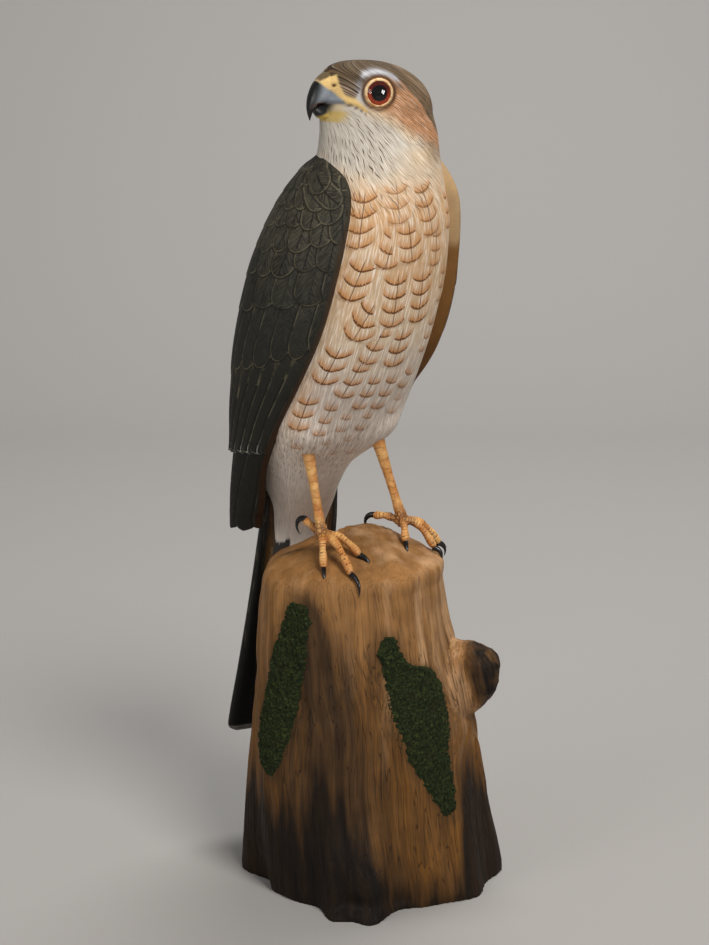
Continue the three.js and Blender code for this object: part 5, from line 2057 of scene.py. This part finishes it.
    def weather(self, mesh: bpy.types.Mesh) -> None:
        """Carve grain into the skin, and stain it by zones."""
        places, normals = mesh_points(mesh)
        x, y, z = places.T
        row = self.side.at(np.minimum(z, self.shoulder))
        angle = np.arctan2(y - row[:, 1], x - row[:, 0])
        spread = 46 / row[:, 2]
        flow = np.stack([(x - row[:, 0]) * spread, (y - row[:, 1]) * spread, z], -1)
        face, beside = self.knot_face(places)
        sweep = 10 * bell(beside - 22, 12) * smooth(8, 24, (x - 22)) * np.sign(y + 3)
        flow = flow + np.stack([0 * z, sweep, 0 * z], -1)
        furrow = cloud(flow / [5.0, 5.0, 70], 31, 3)
        ridges = 1 - np.abs(cloud(flow / [8, 8, 90], 37, 2)) * 2
        top = smooth(150, 170, z)
        calm = 1 - 0.75 * smooth(108, 146, z)
        height = (0.7 * furrow + 0.5 * ridges) * calm + 1.0 * cloud(places / 17, 41, 2) * (1 - 0.5 * top)
        knee = bell(np.hypot(x + 6, (z - 23) * 1.1), 13) * (y < 0)
        hollow = bell(x + 5, 15) * bell(z - 8 + 0.012 * (x + 5) ** 2, 4.5) * (y < 0)
        height = height + 2.4 * knee - 2.6 * hollow + 1.0 * face * cloud(places / 6, 43, 3)
        height = height + 2.4 * face * smooth(104, 114, z)
        height *= smooth(0.3, 5, z)
        made = places + normals * height[:, None]
        made[:, 2] -= 1.9 * smooth(25, 36, -x) * smooth(152, 160, z)
        crest = smooth(164, 171, z) * smooth(-10, 0, y)
        made[:, 2] -= crest * (2.8 * bell(x + 28, 13) + 1.3 * (0.5 + cloud(places / [3.0, 3.0, 9], 47, 3)))
        made[:, 2] = np.where(z < 0.45, 0, np.maximum(made[:, 2], 0))
        move_points(mesh, made)
        halo = self.moss_halo(places, angle)
        set_values(mesh, "flow", flow)
        set_values(mesh, "halo", halo[:, None])
        colour, burnt = self.stain(places, np.degrees(angle), flow, furrow, halo)
        set_values(mesh, "grain", ((1 - 0.6 * top) * (0.4 + 0.6 * calm) * (1 - 0.85 * burnt))[:, None])
        set_values(mesh, "paint", colour)

    def stain(
        self, places: Array, degrees: Array, flow: Array, furrow: Array, halo: Array
    ) -> tuple[Array, Array]:
        """Stain of the stump at points, with painted light on the side towards the key light and a painted
        highlight round the branch stub's cut face, and the share that is burnt.
        """
        z = places[:, 2]
        streak = cloud(flow / [4.0, 4.0, 62], 51, 4, 0.6)
        broad = cloud(flow / [13, 13, 80], 57, 3)
        patch = cloud(places / 15, 53, 3)
        face, beside = self.knot_face(places)
        # Paler tan and pale streaks on the front and right, the side that faces the key light: painted light.
        painted_lit_side = smooth(-115, -60, degrees) * (degrees < 30)
        tan = smooth(-22, 30, z - 120 + 34 * painted_lit_side + 52 * streak + 20 * broad)
        wash = cloud(flow / [8, 8, 46], 59, 2)
        quiet = 1 - 0.6 * smooth(136, 158, z)
        pale = np.clip(1.3 * streak * quiet + 0.5 * patch + 1.5 * wash, 0, 0.85) * tan * (0.35 + 0.65 * painted_lit_side)
        dark = np.clip(-1.5 * streak - 0.2, 0, 0.75) * fall(118, 160, z)
        row = Curve(self.smear_rows).at(z)
        smear = bell(degrees - row[:, 0], row[:, 1]) * fall(146, 160, z + 14 * streak)
        behind = np.clip(1.6 * broad - 0.3, 0, 1) * (np.abs(degrees + 90) > 95)
        line = Curve(self.burn_rows).line(degrees)
        burnt = fall(-15, 17, z - line - 24 * streak - 9 * broad)
        hollow = cloud(places / [7, 5, 7], 43, 3) + 0.25 * smooth(100, 116, z)
        base = layered(
            Paint.WOOD_BROWN.over(z.shape),
            (Paint.WOOD, tan),
            (Paint.WOOD_PALE, pale),
            (Paint.WOOD_BROWN, np.clip(0.9 * patch - 0.1, 0, 0.6) * smooth(140, 160, z)),
            (Paint.WOOD_DARK, dark),
            (Paint.WOOD_DARK, np.clip((smear + behind) * (1.1 + 1.2 * streak), 0, 0.92)),
            (Paint.WOOD_BURNT, np.clip(burnt, 0, 0.95)),
            (Paint.WOOD_DARK, 0.45 * halo),
            (Paint.WOOD_DARK, face * np.clip(0.8 + 0.8 * patch, 0.4, 0.95)),
            (Paint.WOOD_BURNT, face * smooth(-0.05, 0.2, hollow)),
            # Pale ring just inside the rim of the branch stub's cut face: painted highlight.
            (Paint.WOOD, 0.4 * face * bell(beside - 16, 1.8) * (hollow < 0.1)),
        )
        return base * ((1 + 0.3 * furrow) * (1 - 0.2 * smooth(158, 170, z)))[:, None], burnt


@dataclass
class Moss:
    """Flocked patch over the stump's side, between two edge lines."""

    name: str
    rows: Rows
    stump: Stump
    thick: float = 1.5
    buried: float = 3.0

    def build(self) -> bpy.types.Object:
        """Make the patch with a crumbly skin."""
        low, high = self.rows[0][0], self.rows[-1][0]
        z, share = np.meshgrid(np.linspace(low, high, 220), np.linspace(0, 1, 76), indexing="ij")
        line = Curve(self.rows).at(z)
        ragged = cloud(np.stack([z / 1.5, share * 0 + 4, share], -1), 61, 3, 0.7) * 2.2
        first = line[..., 0] + ragged
        angle = (first + (line[..., 1] + ragged[::-1] - first) * share) * DEG
        rise = z / self.stump.shoulder
        flat = self.stump.place(rise, angle)
        edge = np.minimum(np.minimum(share, 1 - share) * 9, np.minimum(z - low, high - z) / 3)
        rim = smooth(0.0, 1.6, edge)
        crumbs = cloud(flat / 0.95, 67, 2, 0.7)
        tufts = cloud(flat / 3.4, 71, 2)
        proud = CLEARANCE + 0.1 + self.thick * rim + (0.35 + 0.5 * rim) * crumbs + 0.45 * tufts * rim
        outer = self.stump.place(rise, angle, proud)
        inner = self.stump.place(rise, angle, -self.buried)
        rings = np.concatenate([outer, inner[:, ::-1]], axis=1)
        value = np.clip(0.5 + 0.6 * crumbs, 0, 1)
        maker = MeshMaker()
        maker.tube(rings, {"proud": np.concatenate([value, 0 * value], axis=1)})
        piece = maker.build(self.name)
        MossFlock("moss flock", Gloss(0.9, 0.05, specular=0.12), 1.0, 0.7).dress(piece)
        return piece


class Studio:
    """Plain pale floor, soft lights and the camera."""

    eye = Vector((-0.008, -0.912, 0.440))
    pitch = 75.3 * DEG
    focal_pixels = 2045.0
    picture_height = 945.0

    def build(self) -> None:
        """Make the floor, the lights and the camera."""
        self.floor()
        key = self.light("key", (0.42, -0.8, 1.3), (0.0, 0.0, 0.2), 0.5, 16.5, (1.0, 0.97, 0.93))
        key.visible_glossy = False
        self.light("fill", (-0.9, -0.75, 0.55), (0.0, 0.0, 0.2), 0.6, 3.8, (1.0, 0.98, 0.96))
        self.light("wash", (0.2, 0.35, 1.5), (0.1, 1.3, 0.5), 0.7, 17.0, (0.99, 0.99, 1.0))
        glints = (("glint right", (0.6, -0.71, 0.42), 0.34), ("glint left", (-0.5, -0.86, 0.4), 0.16))
        for name, place, size in glints:
            glint = self.light(name, place, (0.0, -0.04, 0.376), size, 55 * size * size, (1.0, 1.0, 1.0))
            glint.visible_diffuse = False
        world = bpy.data.worlds.new("studio air")
        world.use_nodes = True
        back = world.node_tree.nodes["Background"]
        back.inputs[0].default_value = (0.93, 0.95, 1.0, 1.0)
        back.inputs[1].default_value = 0.24
        bpy.context.scene.world = world
        bpy.context.scene.view_settings.view_transform = "Standard"
        camera = bpy.data.cameras.new("camera")
        camera.sensor_width = camera.sensor_height = 36.0
        camera.lens = 36.0 * self.focal_pixels / self.picture_height
        holder = add_object("camera", camera)
        holder.location = self.eye
        holder.rotation_euler = (self.pitch, 0.0, 0.0)
        bpy.context.scene.camera = holder

    @staticmethod
    def light(
        name: str, place: Place, aim: Place, size: float, power: float, tint: Place
    ) -> bpy.types.Object:
        """Add one soft light that points at a place."""
        lamp = bpy.data.lights.new(name, "AREA")
        lamp.shape, lamp.size, lamp.energy, lamp.color = "DISK", size, power, tint
        holder = add_object(name, lamp)
        holder.location = place
        holder.rotation_euler = (Vector(aim) - Vector(place)).to_track_quat("-Z", "Y").to_euler()
        return holder

    @staticmethod
    def floor() -> None:
        """Add the floor, swept up behind the carving."""
        maker = MeshMaker()
        bend = np.linspace(0.05, math.pi / 2, 20)
        run = np.concatenate([np.linspace(-2500, 900, 30), 900 + 500 * np.sin(bend), [1400, 1400]])
        rise = np.concatenate([np.zeros(30), 500 - 500 * np.cos(bend), [1500, 3000]])
        side = np.linspace(-3000, 3000, 40)
        points = np.stack(np.broadcast_arrays(side[None, :], run[:, None], rise[:, None]), -1)
        start = maker.add(points)
        maker.sheet(start, len(run), len(side))
        piece = maker.build("floor")
        paper = Gloss(0.8, 0.05, specular=0.2)
        PlainPaint("floor paper", paper, 0.05, 0.2, Paint.FLOOR, Paint.FLOOR, 20.0).dress(piece)


# Height, and angles in degrees of a wing's front and rear edge.
RIGHT_WING_EDGES: Rows = (
    (140, 22, -88), (171, 25, -90), (188, 29, -92), (205, 29.5, -92), (221, 35, -92), (235, 41, -92),
    (249, 45.6, -92), (273, 51.2, -92), (297, 52.2, -90), (320, 50.6, -80), (331, 47, -66),
    (338, 41, -52), (343, 31, -42), (348, 10, -24), (349, 4, -22),
)
LEFT_WING_EDGES: Rows = (
    (140, -40, -88), (165, -34, -90), (200, -30, -92), (215, -20, -92), (228, 6, -92), (240, 22, -92),
    (262, 32, -92), (284, 34, -92), (305, 32, -90), (325, 29, -78), (336, 22, -58), (344, 8, -40),
    (349, -4, -22),
)
RIGHT_TOES = (
    Toe(-21, 12, 11.7, 10, 10, 88), Toe(12, 22, 13.2, 14, 20, 100), Toe(45, 18.3, 7.5, 11.5, 15, 100),
    Toe(208, 9.5, -6, 13, 45, 130),
)
LEFT_TOES = (
    Toe(-16, 9, 6.5, 9, 10, 92), Toe(64, 15, 12, 10.5, 15, 110), Toe(87, 19, 12, 9.5, 15, 105),
    Toe(222, 14, -2, 12, 40, 125),
)
# Height, and directions in degrees of the two edges of the moss.
LEFT_MOSS_ROWS: Rows = (
    (61, -152, -147), (66, -158, -144), (76, -161, -139), (90, -159, -132), (107, -152, -127),
    (122, -147, -121), (136, -140, -116.5), (146, -135, -116), (150, -131, -119),
)
RIGHT_MOSS_ROWS: Rows = (
    (43, -43, -37), (49, -46, -34), (61, -53, -33), (74, -61, -34), (86, -67, -32), (98, -70, -31),
    (110, -70.5, -33), (116, -71, -40), (120, -71.5, -54), (127, -74, -60), (134, -69, -63),
)


def place_piece(piece: bpy.types.Object, node: str) -> None:
    """Ride a piece on the carving, let it stand for a node, and report it."""
    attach(piece, "root")
    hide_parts(node)
    faces = sum(len(polygon.vertices) - 2 for polygon in piece.data.polygons)
    LOG.info("%s stands for %s with %d triangles", piece.name, node, faces)


def main() -> None:
    """Make the carving and its studio, piece by piece."""
    logging.basicConfig(level=logging.INFO, format="%(name)s: %(message)s")
    Studio().build()
    form = HawkForm()
    eyes = (EyeForm(1), EyeForm(-1))
    place_piece(Hawk(form, eyes).build(), "hawk")
    right_wing, left_wing = Wing(Side.RIGHT, RIGHT_WING_EDGES, form), Wing(Side.LEFT, LEFT_WING_EDGES, form)
    place_piece(right_wing.build("hawk_right_wing"), "hawk")
    place_piece(left_wing.build("hawk_left_wing"), "hawk")
    place_piece(Tail().build(), "hawk")
    for eye, name in zip(eyes, ("left_eye", "right_eye")):
        for piece in GlassEye(eye, name + "_glass").build():
            place_piece(piece, name)
    legs = (
        ("right_leg", Leg((-23, -19.5, 178), (-28.8, -20, 216), RIGHT_TOES)),
        ("left_leg", Leg((14, -1, 178.8), (3.2, -5, 215.5), LEFT_TOES)),
    )
    for name, leg in legs:
        place_piece(leg.build(name + "_skin"), name)
    stump = Stump((LEFT_MOSS_ROWS, RIGHT_MOSS_ROWS))
    place_piece(stump.build(), "stump")
    for name, rows in (("moss_left", LEFT_MOSS_ROWS), ("moss_right", RIGHT_MOSS_ROWS)):
        place_piece(Moss(name + "_flock", rows, stump).build(), name)


if __name__ == "__main__":
    main()
